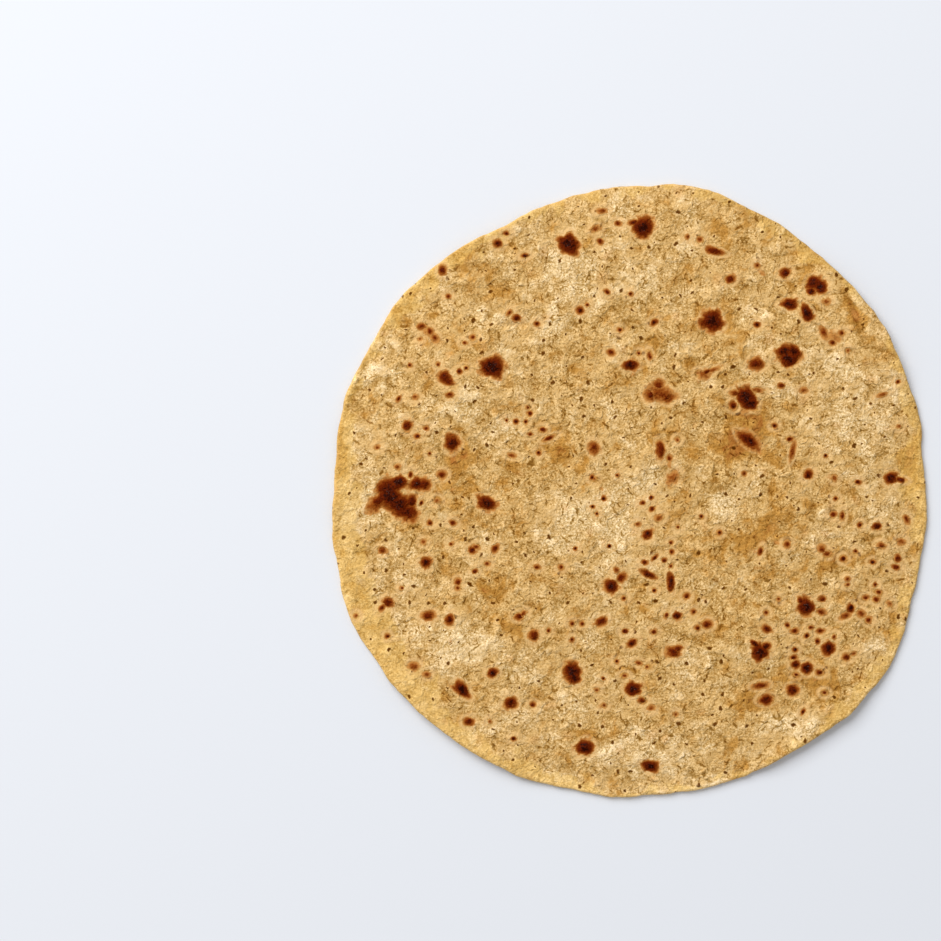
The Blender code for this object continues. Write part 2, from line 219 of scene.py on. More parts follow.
# Soft orange-brown scorches round and between the burns: (across, up, length, width, turn, strength).
# The one at (66.4, 53) along the crease in the upper right is partly browning and partly painted shade
# beside the crease.
SCORCHES = (
    (6, 80.4, 5, 6.6, 20, 0.44), (-60.5, 48, 8, 3, -32, 0.6), (-47, 46, 6, 2.4, 50, 0.45),
    (-76.4, -4, 7.4, 5.6, 35, 0.95), (-72.6, 4.6, 5, 2.6, 30, 0.6), (-65.6, -7.2, 8, 5, -8, 0.95),
    (-62, 1.4, 6.4, 4.6, 0, 0.6), (-52.8, 2, 2.4, 4, 0, 0.55), (8.8, 29, 9.6, 6.4, -12, 0.55),
    (1, 35.3, 4, 3, 0, 0.5), (21.8, 35.3, 6.6, 4, 20, 0.85), (13.2, 40.5, 1.8, 1, 20, 0.5),
    (38.7, 65.6, 6.4, 2.2, -54, 0.55), (32.6, 61, 2.4, 1.6, 20, 0.5), (60.2, 46.4, 7.4, 5.2, 0, 0.56),
    (66.4, 53, 14, 2.2, -66, 0.52), (46.8, 41.2, 8.6, 6.6, 0, 0.55), (31, 29.5, 4.6, 3.2, 30, 0.65),
    (38, 31, 4, 1.6, 0, 0.6), (35, 15.9, 10.4, 6.6, -33, 1), (38, 12.6, 2, 3.6, 20, 0.6),
    (12.2, 4.5, 5.8, 5, 40, 0.86), (11.6, 8.6, 1.8, 3.4, 10, 0.6), (-8.9, 1.5, 2.8, 1.8, -60, 0.5),
    (2.1, -3.5, 2.4, 1.4, 45, 0.5), (59, 5, 4, 3, 0, 0.5), (36, -17, 5, 4, 0, 0.5),
    (43, -14.6, 3.4, 2.6, 0, 0.6), (38.8, -25.6, 2, 1.6, 0, 0.4), (37.5, -22, 3.2, 1.6, 0, 0.45),
    (22.6, -38.6, 3.6, 2.8, 0, 0.6), (3, -42.7, 3, 1.4, 30, 0.5), (-8, -37, 4.4, 3, 0, 0.5),
    (-9.2, -63, 3.2, 2.2, 0, 0.55), (-38.5, -64.5, 2.6, 2.2, 0, 0.35), (-17, -75.5, 3.6, 3, 0, 0.45),
    (-64.5, -50.8, 3.6, 3.2, 0, 0.4), (-67.2, 18.8, 3.2, 2, 30, 0.5), (40.6, -58.8, 3.4, 4.6, 0, 0.5),
    (54.8, -55.2, 2.2, 1.2, 15, 0.6), (-24.6, 15.6, 5, 3, 20, 0.4), (-26.8, 35.4, 2.6, 1, -15, 0.5),
    (-43.8, 23, 1.8, 1.4, 0, 0.45), (-43, 28, 1.3, 1.5, 0, 0.45), (-12.3, -14.5, 1.6, 1.5, 0, 0.45),
    (-53.6, -43.6, 1.3, 2, 0, 0.45),
)
# Broad tones of the crust: (across, up, length, width, turn, tone from -1, floury, to 1, golden brown).
# The band at (65.4, 55) along the crease in the upper right is partly browning and partly painted shade
# beside the crease, and the strip at (-86.5, 18) darkens the outer edge of the left rim.
TONES = (
    (31, 17, 30, 15, 32, 1.2), (38, 27, 14, 10, 20, 0.45), (5.8, 44.5, 15, 9, 20, 0.6),
    (2, 35, 16, 10, 0, 0.55), (-41, 60, 24, 11, -25, 0.4), (-55, 46, 20, 8, -20, 0.5),
    (-50, 10, 12, 20, 10, 0.95), (-38, 9, 26, 8, 0, 0.45), (-23, 13, 12, 9, 0, 0.5),
    (35.5, -13.5, 22, 9, 20, 0.7), (35, -64.5, 15, 9, 25, 0.8), (28.5, -73, 9, 6, 0, 0.6),
    (52.5, -54, 18, 12, 0, 0.9), (65.4, 55, 19, 4.4, -62, 1.2), (-12, -71, 15, 9, 0, 0.45),
    (-33, -41, 14, 10, 0, 0.35), (-10, -37, 14, 8, 0, 0.3), (23, -38, 14, 10, 0, 0.35),
    (83, 8, 8, 22, 0, 0.6), (-48, -64, 12, 8, 0, 0.25), (-58, -20, 14, 10, 0, 0.35),
    (-38, -24, 34, 14, 0, 0.55), (67, -32, 26, 16, -50, 0.6), (-81, -30, 8, 22, 20, 0.25),
    (-86, 12, 6, 30, 5, 0.4), (-72, -52, 10, 24, 40, 0.3), (-60, 66, 26, 7, 42, 0.4),
    (-18, 63, 30, 20, 0, -0.65), (-49, 23, 26, 12, -20, -0.5), (-12, -6, 30, 17, 0, -0.8),
    (3, 3, 15, 22, 0, -0.75), (25.6, -3, 13, 12, 0, -1), (66, 25, 28, 24, 0, -0.55),
    (36, 50, 26, 18, 0, 0.15), (-46, -45, 26, 17, 0, -0.75), (4, -76, 40, 16, 0, -0.75),
    (-33, -67, 15, 14, 0, -0.55), (-77, 40, 10, 26, -30, -0.4), (-77, 2, 10, 20, 0, -0.6),
    (50, -42, 26, 20, 0, 0.1), (60, -17, 22, 14, 0, 0.25), (44.5, 31.5, 7, 7, 0, -0.7),
    (41, -68, 9, 6, 0, -0.9), (-38, 53, 16, 5, -8, -0.9), (-24, 49, 16, 14, 0, -0.85),
    (-44, 30, 20, 14, 30, -0.5), (0, -14, 16, 16, 0, -0.7), (-68, -22, 16, 34, 10, -0.55),
    (-58, -42, 14, 14, 0, -0.5), (-60, -50, 10, 10, 0, 0.4), (60.5, -61, 18, 8, 45, 0.55),
    (64, 46, 10, 6, 0, 0.35), (84, 13, 4, 14, -10, 0.6), (0, 84, 12, 5, 0, -0.5), (12, 71, 12, 9, 0, -0.35),
    (-70, 36, 9, 12, 0, -0.3), (0, 24, 11, 9, 0, -0.35), (-36, 7, 12, 16, 0, -0.38), (48, 12, 9, 9, 0, -0.45),
    (72, 12, 9, 12, 0, -0.4), (-1, 0, 12, 11, 0, 0.45), (33, 11, 12, 8, 0, 0.4), (12, 11, 8, 8, 0, 0.35),
    (60, 24, 10, 8, 0, 0.35), (-48, -13, 8, 6, 0, 0.3), (-23, -12, 8, 6, 0, 0.25), (-60, -46, 10, 10, 0, 0.4),
    (-2, -60, 12, 9, 0, 0.4), (-12, -73, 10, 8, 0, 0.45), (-25, -72, 8, 8, 0, -0.45),
    (24, -72, 10, 8, 0, -0.35), (48, -46, 8, 9, 0, -0.35), (2, -84, 14, 5, 0, -0.3), (72, -36, 8, 8, 0, -0.3),
    (-86.5, 18, 4, 26, 0, 0.9), (42, 11, 14, 8, 10, 0.6), (14, 22, 18, 9, 20, 0.6), (2, 62, 16, 14, 0, -0.5),
    (54, 62, 20, 12, -40, 0.3), (64, -46, 16, 12, -40, 0.4), (-53.7, -44.5, 6, 8, 0, -0.8),
    (65, -26, 8, 7, 0, -0.7),
)
# Low pale blisters with a crisp foot: (across, up, length, width, turn, height).
PALE_BLISTERS = (
    (-37, 52.6, 14, 4.4, -6, 0.45), (44.5, 31.4, 6, 6.2, 0, 0.3), (41, -68, 7.4, 5, 10, 0.35),
    (-53.7, -44.6, 5.2, 6.8, 0, 0.3), (65, -26, 7.2, 6.4, 0, 0.28), (-56, 24, 4, 4.2, 0, 0.25),
    (38, -21.6, 4.4, 3.2, 0, 0.3), (-12.3, -14.5, 5.4, 5.4, 0, 0.25), (-12.5, 9.2, 4.4, 2.4, 0, 0.25),
    (26.5, -7, 4, 6, 0, 0.25), (-46.4, -23, 4.4, 4.4, 0, 0.2), (68, 40, 6, 4, 0, 0.25),
    (-75.5, 38.8, 4.4, 3.6, 0, 0.25), (-7, -75, 11, 12, 0, 0.3),
)
# Creases of the skin: (from across, from up, to across, to up, bow, height, width).
CREASES = (
    (62, 63.5, 69.6, 43, 1.6, 0.5, 1.1), (55, 45.5, 69, 41, 1.6, 0.3, 0.9),
    (68, 45.5, 64.5, 36, -0.8, 0.2, 0.8), (-62, 68, -44, 63.5, -2.4, 0.35, 1.2),
    (-41.5, 51.2, -29.5, 50.6, -0.8, -0.4, 0.6), (-72, 30, -61, 20, 1.5, 0.25, 0.9),
    (28, 66, 41, 61, 1, 0.2, 0.9), (27, -68, 29.5, -86, 1.6, 0.22, 0.8),
    (-68.5, -31, -66.5, -41, 1.4, 0.22, 0.8), (-44, -47, -37, -40, 0.6, 0.2, 0.7),
    (-87, 24, -80, 44, -1.4, 0.3, 1.2), (46, -72, 60, -62, -1.2, 0.25, 1),
)

# ---- How finely and how roughly the bread is drawn ----

FACE_CELLS = 264  # squares across the upper face, and twice the squares across the underside
RIM_ROWS = 7  # rows of faces round the rounded rim
RIM_DEPTH = 0.85 * MM  # how far the rounding of the rim reaches in
FRAYS = ((0.22, 4.0, 7), (0.10, 1.6, 8))  # the edge's small wobbles: (height, size, seed)
CALM_RIM = 5.0 * MM  # how far in from the outline the skin is smoother, and the rim's shades reach
CALM_SHARE = 0.25  # of the skin's relief that is left at the outline
SKIN_SEEDS = {True: 60, False: 90}  # of the relief of the upper face and of the underside
SKIN_PUSH = 1.6 * MM  # how far the ridges of the skin are pushed about
RIDGE_MEAN = 0.25  # average of the cubed ridges
# In millimetres, the height, share of the relief and limit of the bumps on the underside.
UNDER_LIFT, UNDER_SHARE, UNDER_MOST = 0.06, 0.5, 0.3
UNDERSIDE_SEED = 400  # of the marks of the underside

BURN_SEED = 31
# How a burn's edge swells and shrinks: (waves round it, share of its reach).
BURN_WAVES = ((2, 0.05), (3, 0.06), (5, 0.04))
GAP_LIMITS = (-3.0, 8.0)  # in millimetres, how deep in and how far out of a burn its gap is still told
FAR_GAP = 40.0  # in millimetres, past which a burn's pull on the others is nil
TINY = 1e-60  # keeps logarithms and shares of the burns' pull finite
JOIN_SOFTNESS = 0.25  # in millimetres, how softly two burns that touch run together
SPOT_LIMIT = 3.1  # burns with a mean width below this, in millimetres, are drawn face by face as spots
BURN_DOME, DOME_REACH = 0.26, 1.4  # in millimetres, a burn's rise and how far in from its edge it is full
BURN_FOOT, FOOT_WIDTH = 0.08, 0.35  # in millimetres, the hollow round it and that hollow's half-width

# Radii of the two faces in the unit square that the bake uses, the margin outside them, the room inside
# them past the outline, and how much the rim is stretched outwards.
UPPER_DISC, UNDER_DISC, DISC_MARGIN, DISC_SLACK, RIM_STRETCH = 0.395, 0.182, 0.005, 1.03, 0.02

SEED_STEP = (0.31, 0.17, 0.0)  # how far a crust's pattern moves over for each unit of its seed

FLOOR_GAP = 0.02 * MM  # between the bread's underside and the floor
FLOOR_HALF = 3.0  # half the floor's side
LAMP_SIZE = 1.3  # side of the square lamp
LAMP_PLACE = (-0.956, 1.138, 1.338)


# ---- Surface maths, all on whole arrays ----


def smooth_step(value):
    """0 below 0, 1 above 1, and a smooth S between."""
    held = np.clip(value, 0.0, 1.0)
    return held * held * (3.0 - 2.0 * held)


def turn_between(angle, direction):
    """The signed angle from a direction in degrees to an angle in radians, taken the short way round."""
    return np.mod(angle - math.radians(direction) + math.pi, 2 * math.pi) - math.pi


def wander(x, y, size, seed):
    """Smooth noise from -1 to 1 with bumps about `size` across.

    Random heights stand at the corners of a square lattice, turned by a random angle, and are blended inside
    each square by quintic S-curves across and up.
    """
    draw = np.random.default_rng(seed)
    turn = draw.uniform(0.0, 2 * math.pi)
    across = (x * math.cos(turn) - y * math.sin(turn)) / size
    up = (x * math.sin(turn) + y * math.cos(turn)) / size
    left, low = np.floor(across).astype(int), np.floor(up).astype(int)
    first = min(left.min(), low.min())
    count = max(left.max(), low.max()) - first + 2
    corners = draw.uniform(-1.0, 1.0, (count, count))
    share_x, share_y = across - left, up - low
    share_x = share_x**3 * (share_x * (share_x * 6 - 15) + 10)
    share_y = share_y**3 * (share_y * (share_y * 6 - 15) + 10)
    left, low = left - first, low - first
    bottom = corners[low, left] * (1 - share_x) + corners[low, left + 1] * share_x
    top = corners[low + 1, left] * (1 - share_x) + corners[low + 1, left + 1] * share_x
    return bottom * (1 - share_y) + top * share_y


def soft_bumps(angle, stretches):
    """Sum of bells round the rim, each height * exp(-(turn from its direction / half-width)^2)."""
    total = np.zeros_like(angle)
    for direction, height, half_width in stretches:
        total += height * np.exp(-((turn_between(angle, direction) / math.radians(half_width)) ** 2))
    return total


def rim_radius(angle):
    """Distance from the pole to the outline: a circle, a soft bump for each lobe, and fine ripples."""
    radius = MEAN_RADIUS + MM * soft_bumps(angle, OUTLINE_LOBES)
    for waves, height, phase in OUTLINE_RIPPLES:
        radius += height * MM * np.sin(waves * angle + math.radians(phase))
    return radius


def frayed_radius(angle):
    """The outline with the crust's own small wobble, read off noise along a circle."""
    x, y = MEAN_RADIUS * np.cos(angle), MEAN_RADIUS * np.sin(angle)
    wobble = sum(height * wander(x, y, size * MM, seed) for height, size, seed in FRAYS)
    return rim_radius(angle) + wobble * MM


def disc_points(cells):
    """Angle and share of the radius of each point of a square grid, by the concentric map.

    Each square ring of the grid becomes a round ring, and a point keeps its share of the way along its side.
    """
    line = np.linspace(-1.0, 1.0, cells + 1)
    across, up = np.meshgrid(line, line)
    sideways = np.abs(across) > np.abs(up)
    far = np.where(sideways, across, up)
    near = np.where(sideways, up, across)
    slant = near / np.where(far == 0, 1.0, far) * math.pi / 4
    angle = np.where(sideways, slant, math.pi / 2 - slant) + np.where(far < 0, math.pi, 0.0)
    return angle.ravel(), np.abs(far).ravel()


def underside_height(x, y, inset):
    """Height of the underside above the floor: 0 where the bread lies flat, more under curls and tents."""
    angle = np.arctan2(y, x)
    height = np.zeros_like(x)
    for direction, rise, half_width, reach in RIM_CURLS:
        bell = soft_bumps(angle, ((direction, 1.0, half_width),))
        near_rim = np.clip(1.0 - inset / (reach * MM), 0.0, 1.0)
        height += rise * MM * smooth_step(CURL_GAIN * bell - CURL_FOOT) * near_rim**2
    for across, up, rise, radius in STEAM_TENTS:
        share = np.hypot(x - across * MM, y - up * MM) / (radius * MM)
        height += rise * MM * np.clip(1.0 - share**2, 0.0, 1.0) ** 2
    return height


def blisters():
    """Middle, radius and height of each broad blister on the upper face."""
    draw = np.random.default_rng(BLISTER_SEED)
    angle = draw.uniform(0, 2 * math.pi, BLISTER_COUNT)
    distance = BLISTER_SPREAD * MEAN_RADIUS * np.sqrt(draw.uniform(0, 1, BLISTER_COUNT))
    radius = draw.uniform(*BLISTER_RADIUS, BLISTER_COUNT)
    height = draw.uniform(*BLISTER_HEIGHT, BLISTER_COUNT)
    return zip(distance * np.cos(angle), distance * np.sin(angle), radius, height)


def bread_thickness(x, y, inset, dough):
    """Thickness of the bread: thinner at the rim, wandering a little, with a low dome at each blister."""
    full = smooth_step(inset / RIM_TAPER)
    thickness = dough.rim_thickness + (dough.thickness - dough.rim_thickness) * full
    (turn_x, phase_x), (turn_y, phase_y) = CRUMB_WAVES
    thickness += CRUMB_SWELL * full * np.sin(turn_x * x + phase_x) * np.sin(turn_y * y + phase_y)
    for across, up, radius, height in blisters():
        share = np.hypot(x - across, y - up) / radius
        thickness += height * full * np.clip(1.0 - share**2, 0.0, 1.0) ** 2
    return thickness


def mark_shares(x, y, mark):
    """Position in a mark's own frame: 0 at its middle, 1 at its edge, along its length and across it."""
    across, up, length, width, turn = mark[:5]
    cos, sin = np.cos(np.radians(turn)), np.sin(np.radians(turn))
    right, high = x / MM - across, y / MM - up
    return (right * cos + high * sin) / (length / 2), (high * cos - right * sin) / (width / 2)


def burn_fields(x, y, burns):
    """Distance in millimetres outside the nearest burn's edge, its char and how far its darkening reaches in.

    A burn's edge is an ellipse whose reach swells and shrinks in a few waves round it. The burns are joined
    by a soft minimum, and char and reach are averages over the burns near by, the nearest counting most.
    """
    draw = np.random.default_rng(BURN_SEED)
    near, charred, sizes = np.zeros_like(x), np.zeros_like(x), np.zeros_like(x)
    for burn in burns:
        along, aside = mark_shares(x, y, burn)
        half = (burn[2] + burn[3]) / 4
        round_it = np.arctan2(aside, along)
        reach = np.ones_like(x)
        for (waves, share), phase in zip(BURN_WAVES, draw.uniform(0, 2 * math.pi, len(BURN_WAVES))):
            reach += share * np.sin(waves * round_it + phase)
        gap = (np.hypot(along, aside) / reach - 1.0) * half
        weight = np.exp(-np.clip(gap, GAP_LIMITS[0], FAR_GAP) / JOIN_SOFTNESS)
        near += weight
        charred += weight * burn[5]
        sizes += weight * half
    near = np.maximum(near, TINY)
    return np.clip(-JOIN_SOFTNESS * np.log(near), *GAP_LIMITS), charred / near, sizes / near


def nearest_spots(x, y, spots):
    """Which of the small spots has its edge nearest to each point."""
    best = np.full_like(x, np.inf)
    chosen = np.zeros(len(x), int)
    for index, spot in enumerate(spots):
        along, aside = mark_shares(x, y, spot)
        gap = (np.hypot(along, aside) - 1.0) * (spot[2] + spot[3]) / 4
        closer = gap < best
        best[closer] = gap[closer]
        chosen[closer] = index
    return chosen


def soft_marks(x, y, marks):
    """Sum of soft ellipses, each as high as its last value in the middle and a Gaussian fall to its edge."""
    total = np.zeros_like(x)
    for mark in marks:
        along, aside = mark_shares(x, y, mark)
        total += mark[5] * np.exp(-1.4 * (along**2 + aside**2) ** 1.2)
    return total


def pale_domes(x, y, marks):
    """Height in millimetres of low domes that rise steeply from a crisp foot and are nearly flat on top."""
    total = np.zeros_like(x)
    for mark in marks:
        along, aside = mark_shares(x, y, mark)
        wobble = 1.0 + 0.12 * np.sin(3 * np.arctan2(aside, along) + mark[0])
        total += mark[5] * smooth_step(2.2 * (1.0 - np.hypot(along, aside) / wobble))
    return total


def crease_fields(x, y, creases):
    """Height in millimetres of bowed ridges, and the painted shade and highlight along them.

    A ridge is a bell across its run, wide on its left and narrow on its right, and fades at both ends.
    Painted shade darkens its foot on the narrow side, and a painted highlight lightens its top.
    """
    total = np.zeros_like(x)
    dark = np.zeros_like(x)
    for x0, y0, x1, y1, bow, height, width in creases:
        run = np.array((x1 - x0, y1 - y0))
        length = np.hypot(*run)
        along = ((x / MM - x0) * run[0] + (y / MM - y0) * run[1]) / length**2
        aside = ((y / MM - y0) * run[0] - (x / MM - x0) * run[1]) / length - bow * 4 * along * (1 - along)
        spread = np.where(aside > 0, width * 2.2, width * 0.6)
        kept = smooth_step(5 * along) * smooth_step(5 * (1 - along))
        bell = np.exp(-((aside / spread) ** 2))
        # The foot gets painted shade and the top of the bell a painted highlight.
        foot = np.exp(-(((aside / width + 1.2) / 0.7) ** 2))
        total += height * bell * kept
        dark += (foot - 0.45 * bell) * kept * min(1.0, 2.2 * abs(height)) * math.copysign(1.0, height)
    return total, dark


def skin_relief(x, y, seed):
    """Height in millimetres of the baked skin's own unevenness, about 0 on average.

    Rolling swells 9 and 5 mm across, lumps 2.6 mm across, and wrinkled ridges: the folded noise 1 - |n|
    cubed, read at places that another noise pushes about.
    """
    push_x = x + SKIN_PUSH * wander(x, y, 5.0 * MM, seed + 1)
    push_y = y + SKIN_PUSH * wander(x, y, 5.0 * MM, seed + 2)
    ridges = (1.0 - np.abs(wander(push_x, push_y, 3.4 * MM, seed + 3))) ** 3
    fine_ridges = (1.0 - np.abs(wander(push_x, push_y, 1.9 * MM, seed + 4))) ** 3
    swells = 0.10 * wander(x, y, 9.0 * MM, seed + 5) + 0.07 * wander(x, y, 5.0 * MM, seed + 6)
    lumps = 0.06 * wander(push_x, push_y, 2.6 * MM, seed + 7)
    return swells + lumps + 0.14 * (ridges - RIDGE_MEAN) + 0.09 * (fine_ridges - RIDGE_MEAN)


def scattered_marks(seed, count, length, strength, spread=0.9):
    """Marks for the underside, spread evenly over the disc.

    Their lengths are drawn with many small and few large, and their widths are 0.55 to 1 of the lengths.
    """
    draw = np.random.default_rng(seed)
    angle = draw.uniform(0, 2 * math.pi, count)
    distance = spread * MEAN_RADIUS / MM * np.sqrt(draw.uniform(0, 1, count))
    size = length[0] + (length[1] - length[0]) * draw.uniform(0, 1, count) ** 2.6
    slim = draw.uniform(0.55, 1.0, count)
    turn = draw.uniform(0, 180, count)
    value = draw.uniform(*strength, count)
    return list(zip(distance * np.cos(angle), distance * np.sin(angle), size, size * slim, turn, value))


# ---- The bread's mesh ----


def face_marks(upper):
    """The marks of one face by kind; the burns are split into large ones and small spots."""
    if upper:
        burns = BURNS + tuple((across, up, size, size, 0, char) for across, up, size, char in DOTS)
        marks = {"scorches": SCORCHES, "tones": TONES, "domes": PALE_BLISTERS, "creases": CREASES}
    else:
        burns = scattered_marks(UNDERSIDE_SEED, 170, (0.9, 7.0), (0.45, 1.0))
        marks = {
            "scorches": scattered_marks(UNDERSIDE_SEED + 1, 40, (2.0, 9.0), (0.3, 0.7)),
            "tones": scattered_marks(UNDERSIDE_SEED + 2, 46, (10.0, 30.0), (-0.7, 0.9), 1.0),
            "domes": scattered_marks(UNDERSIDE_SEED + 3, 14, (4.0, 9.0), (0.1, 0.3)),
            "creases": (),
        }
    marks["large"] = [burn for burn in burns if burn[2] + burn[3] > 2 * SPOT_LIMIT]
    marks["spots"] = [burn for burn in burns if burn[2] + burn[3] <= 2 * SPOT_LIMIT]
    return marks


def face_fields(x, y, inset, upper):
    """The marks of one face as arrays by name: burn gap, char, size, scorch, tone and the height they add."""
    marks = face_marks(upper)
    gap, char, size = burn_fields(x, y, marks["large"])
    all_gap = np.minimum(gap, burn_fields(x, y, marks["spots"])[0])
    angle, calm = np.arctan2(y, x), smooth_step(inset / CALM_RIM)
    relief = skin_relief(x, y, SKIN_SEEDS[upper]) * (CALM_SHARE + (1.0 - CALM_SHARE) * calm)
    crease_and_painted_shade, painted_crease_shade = crease_fields(x, y, marks["creases"])
    relief += pale_domes(x, y, marks["domes"]) + crease_and_painted_shade
    relief += BURN_DOME * smooth_step(-all_gap / DOME_REACH)
    relief -= BURN_FOOT * np.exp(-((all_gap / FOOT_WIDTH - 1.0) ** 2))
    return {
        "burn_gap": gap,
        "burn_char": char,
        "burn_size": size,
        "scorch": np.clip(soft_marks(x, y, marks["scorches"]), 0.0, 1.0),
        "tone": np.clip(soft_marks(x, y, marks["tones"]), -1.2, 1.2),
        # Painted shade and highlight of the creases, with the rim's browning and painted light.
        "crease_and_painted_shade": painted_crease_shade + soft_bumps(angle, RIM_BROWNING_AND_PAINTED_LIGHT) * (1.0 - calm),
        "rim_gap": inset / MM,
        "rim_skin": 1.0 + soft_bumps(angle, RIM_BANDS) - inset / MM,
        "relief": relief,
    }


def grid_ring(cells):
    """Indices of a square grid's outer points, anticlockwise from its lower right corner."""
    side, steps = cells + 1, np.arange(cells)
    back = cells - steps
    return np.concatenate([steps * side + cells, cells * side + back, back * side, steps])


def grid_quads(cells):
    """The squares of a grid as rows of four point indices, facing up."""
    side = cells + 1
    corner = (np.arange(cells)[:, None] * side + np.arange(cells)).ravel()
    return np.column_stack([corner, corner + 1, corner + side + 1, corner + side])


def sheet_place(cells, upper, dough):
    """Places and marks of one face of the bread, from the pole out to where the rim's rounding starts."""
    angle, share = disc_points(cells)
    edge = frayed_radius(angle)
    distance = share * (edge - RIM_DEPTH)
    x, y = distance * np.cos(angle), distance * np.sin(angle)
    inset = edge - distance
    fields = face_fields(x, y, inset, upper)
    height = underside_height(x, y, inset)
    if upper:
        height += bread_thickness(x, y, inset, dough) + dough.relief * fields["relief"] * MM
    else:
        height += dough.relief * np.clip(UNDER_LIFT + UNDER_SHARE * fields["relief"], 0.0, UNDER_MOST) * MM
    return np.column_stack([x, y, height]), fields


def rim_rows(top_ring, low_ring, top_fields, low_fields):
    """The rows of points between the two faces, on a half ellipse that bulges out to the outline.

    Each point is middle + half thickness * cos(a) upwards and rim depth * sin(a) outwards, a from 0 to half a
    turn. Rows above the middle carry the upper face's marks, and the rest the underside's.
    """
    angle = np.arctan2(top_ring[:, 1], top_ring[:, 0])
    inner = np.hypot(top_ring[:, 0], top_ring[:, 1])
    middle = (top_ring[:, 2] + low_ring[:, 2]) / 2
    half = (top_ring[:, 2] - low_ring[:, 2]) / 2
    places, fields = [], {name: [] for name in top_fields}
    for row in range(1, RIM_ROWS):
        bend = math.pi * row / RIM_ROWS
        out, height = inner + RIM_DEPTH * math.sin(bend), middle + half * math.cos(bend)
        places.append(np.column_stack([out * np.cos(angle), out * np.sin(angle), height]))
        source = top_fields if 2 * row < RIM_ROWS else low_fields
        for name, values in source.items():
            kept = RIM_DEPTH / MM * (1 - math.sin(bend)) if name == "rim_gap" else values
            fields[name].append(np.broadcast_to(kept, angle.shape))
    return np.concatenate(places), {name: np.concatenate(rows) for name, rows in fields.items()}


def bread_arrays(dough):
    """Points, faces and marks of the whole closed bread.

    The upper face's ring has twice as many points as the underside's, so the last row round the rim is made
    of five-sided faces, each on two steps above and one below.
    """
    top, top_fields = sheet_place(FACE_CELLS, True, dough)
    low, low_fields = sheet_place(FACE_CELLS // 2, False, dough)
    top_ring, low_ring = grid_ring(FACE_CELLS), grid_ring(FACE_CELLS // 2)
    ring = len(top_ring)
    between = np.arange(ring) / 2
    wrapped = np.append(low_ring, low_ring[0])

    def on_fine_ring(values):
        """The underside's ring values, with the average of each two neighbours put between them."""
        along = values[wrapped]
        return np.stack([np.interp(between, np.arange(len(along)), column) for column in along.T], axis=1)

    fine_low_fields = {name: on_fine_ring(values[:, None])[:, 0] for name, values in low_fields.items()}
    ring_fields = {name: values[top_ring] for name, values in top_fields.items()}
    rim, rim_fields = rim_rows(top[top_ring], on_fine_ring(low), ring_fields, fine_low_fields)

    low_start = len(top) + len(rim)
    rows = [top_ring] + [len(top) + ring * row + np.arange(ring) for row in range(RIM_ROWS - 1)]
    strips = [
        np.column_stack([upper, lower, np.roll(lower, -1), np.roll(upper, -1)])
        for upper, lower in zip(rows[:-1], rows[1:])
    ]
    even, odd = rows[-1][0::2], rows[-1][1::2]
    low_loop = low_start + low_ring
    upper_strips = (RIM_ROWS + 1) // 2 - 1
    faces = {
        "upper": np.concatenate([grid_quads(FACE_CELLS)] + strips[:upper_strips]),
        "under": np.concatenate(strips[upper_strips:] + [low_start + grid_quads(FACE_CELLS // 2)[:, ::-1]]),
        "fives": np.column_stack([even, low_loop, np.roll(low_loop, -1), np.roll(even, -1), odd]),
    }
    kinds = (top_fields, rim_fields, low_fields)
    fields = {name: np.concatenate([kind[name] for kind in kinds]) for name in top_fields}
    return np.concatenate([top, rim, low]), faces, fields


def place_on_solid(points):
    """Moves and scales the bread across so that its outline's box is the solid's box."""
    low, high = points.min(axis=0), points.max(axis=0)
    solid_low, solid_high = np.array(BREAD_LOW), np.array(BREAD_HIGH)
    scale = (solid_high - solid_low)[:2].sum() / (high - low)[:2].sum()
    placed = points.copy()
    placed[:, :2] = (points[:, :2] - (low + high)[:2] / 2) * scale + (solid_low + solid_high)[:2] / 2
    placed[:, 2] += solid_low[2] - min(low[2], 0.0)
    return placed


def pole_place():
    """Where the outline's pole is once the bread is centred on the solid."""
    angle = np.linspace(0, 2 * math.pi, 3600, endpoint=False)
    x, y = rim_radius(angle) * np.cos(angle), rim_radius(angle) * np.sin(angle)
    return (
        (BREAD_LOW.x + BREAD_HIGH.x) / 2 - (x.min() + x.max()) / 2,
        (BREAD_LOW.y + BREAD_HIGH.y) / 2 - (y.min() + y.max()) / 2,
    )


def store(mesh, name, values, domain="POINT"):
    """Keeps an array of numbers, or of places, on the mesh under a name."""
    kind, key = ("FLOAT", "value") if values.ndim == 1 else ("FLOAT_VECTOR", "vector")
    mesh.attributes.new(name, kind, domain).data.foreach_set(key, values.astype(np.float32).ravel())


def make_mesh(name, points, faces, fields):
    """A mesh from arrays: its points, its faces of four and of five corners, and its marks as attributes."""
    four = np.concatenate([faces["upper"], faces["under"]])
    corners = np.concatenate([four.ravel(), faces["fives"].ravel()])
    sizes = np.concatenate([np.full(len(four), 4), np.full(len(faces["fives"]), 5)])
    mesh = bpy.data.meshes.new(name)
    mesh.vertices.add(len(points))
    mesh.vertices.foreach_set("co", points.astype(np.float32).ravel())
    mesh.loops.add(len(corners))
    mesh.loops.foreach_set("vertex_index", corners.astype(np.int32))
    mesh.polygons.add(len(sizes))
    mesh.polygons.foreach_set("loop_start", (np.cumsum(sizes) - sizes).astype(np.int32))
    under = np.arange(len(sizes)) >= len(faces["upper"])
    mesh.polygons.foreach_set("material_index", under.astype(np.int32))
    for field, values in fields.items():
        if field != "relief":
            store(mesh, field, values)
    mesh.update(calc_edges=True)
    mesh.validate()
    mesh.shade_smooth()
    return mesh


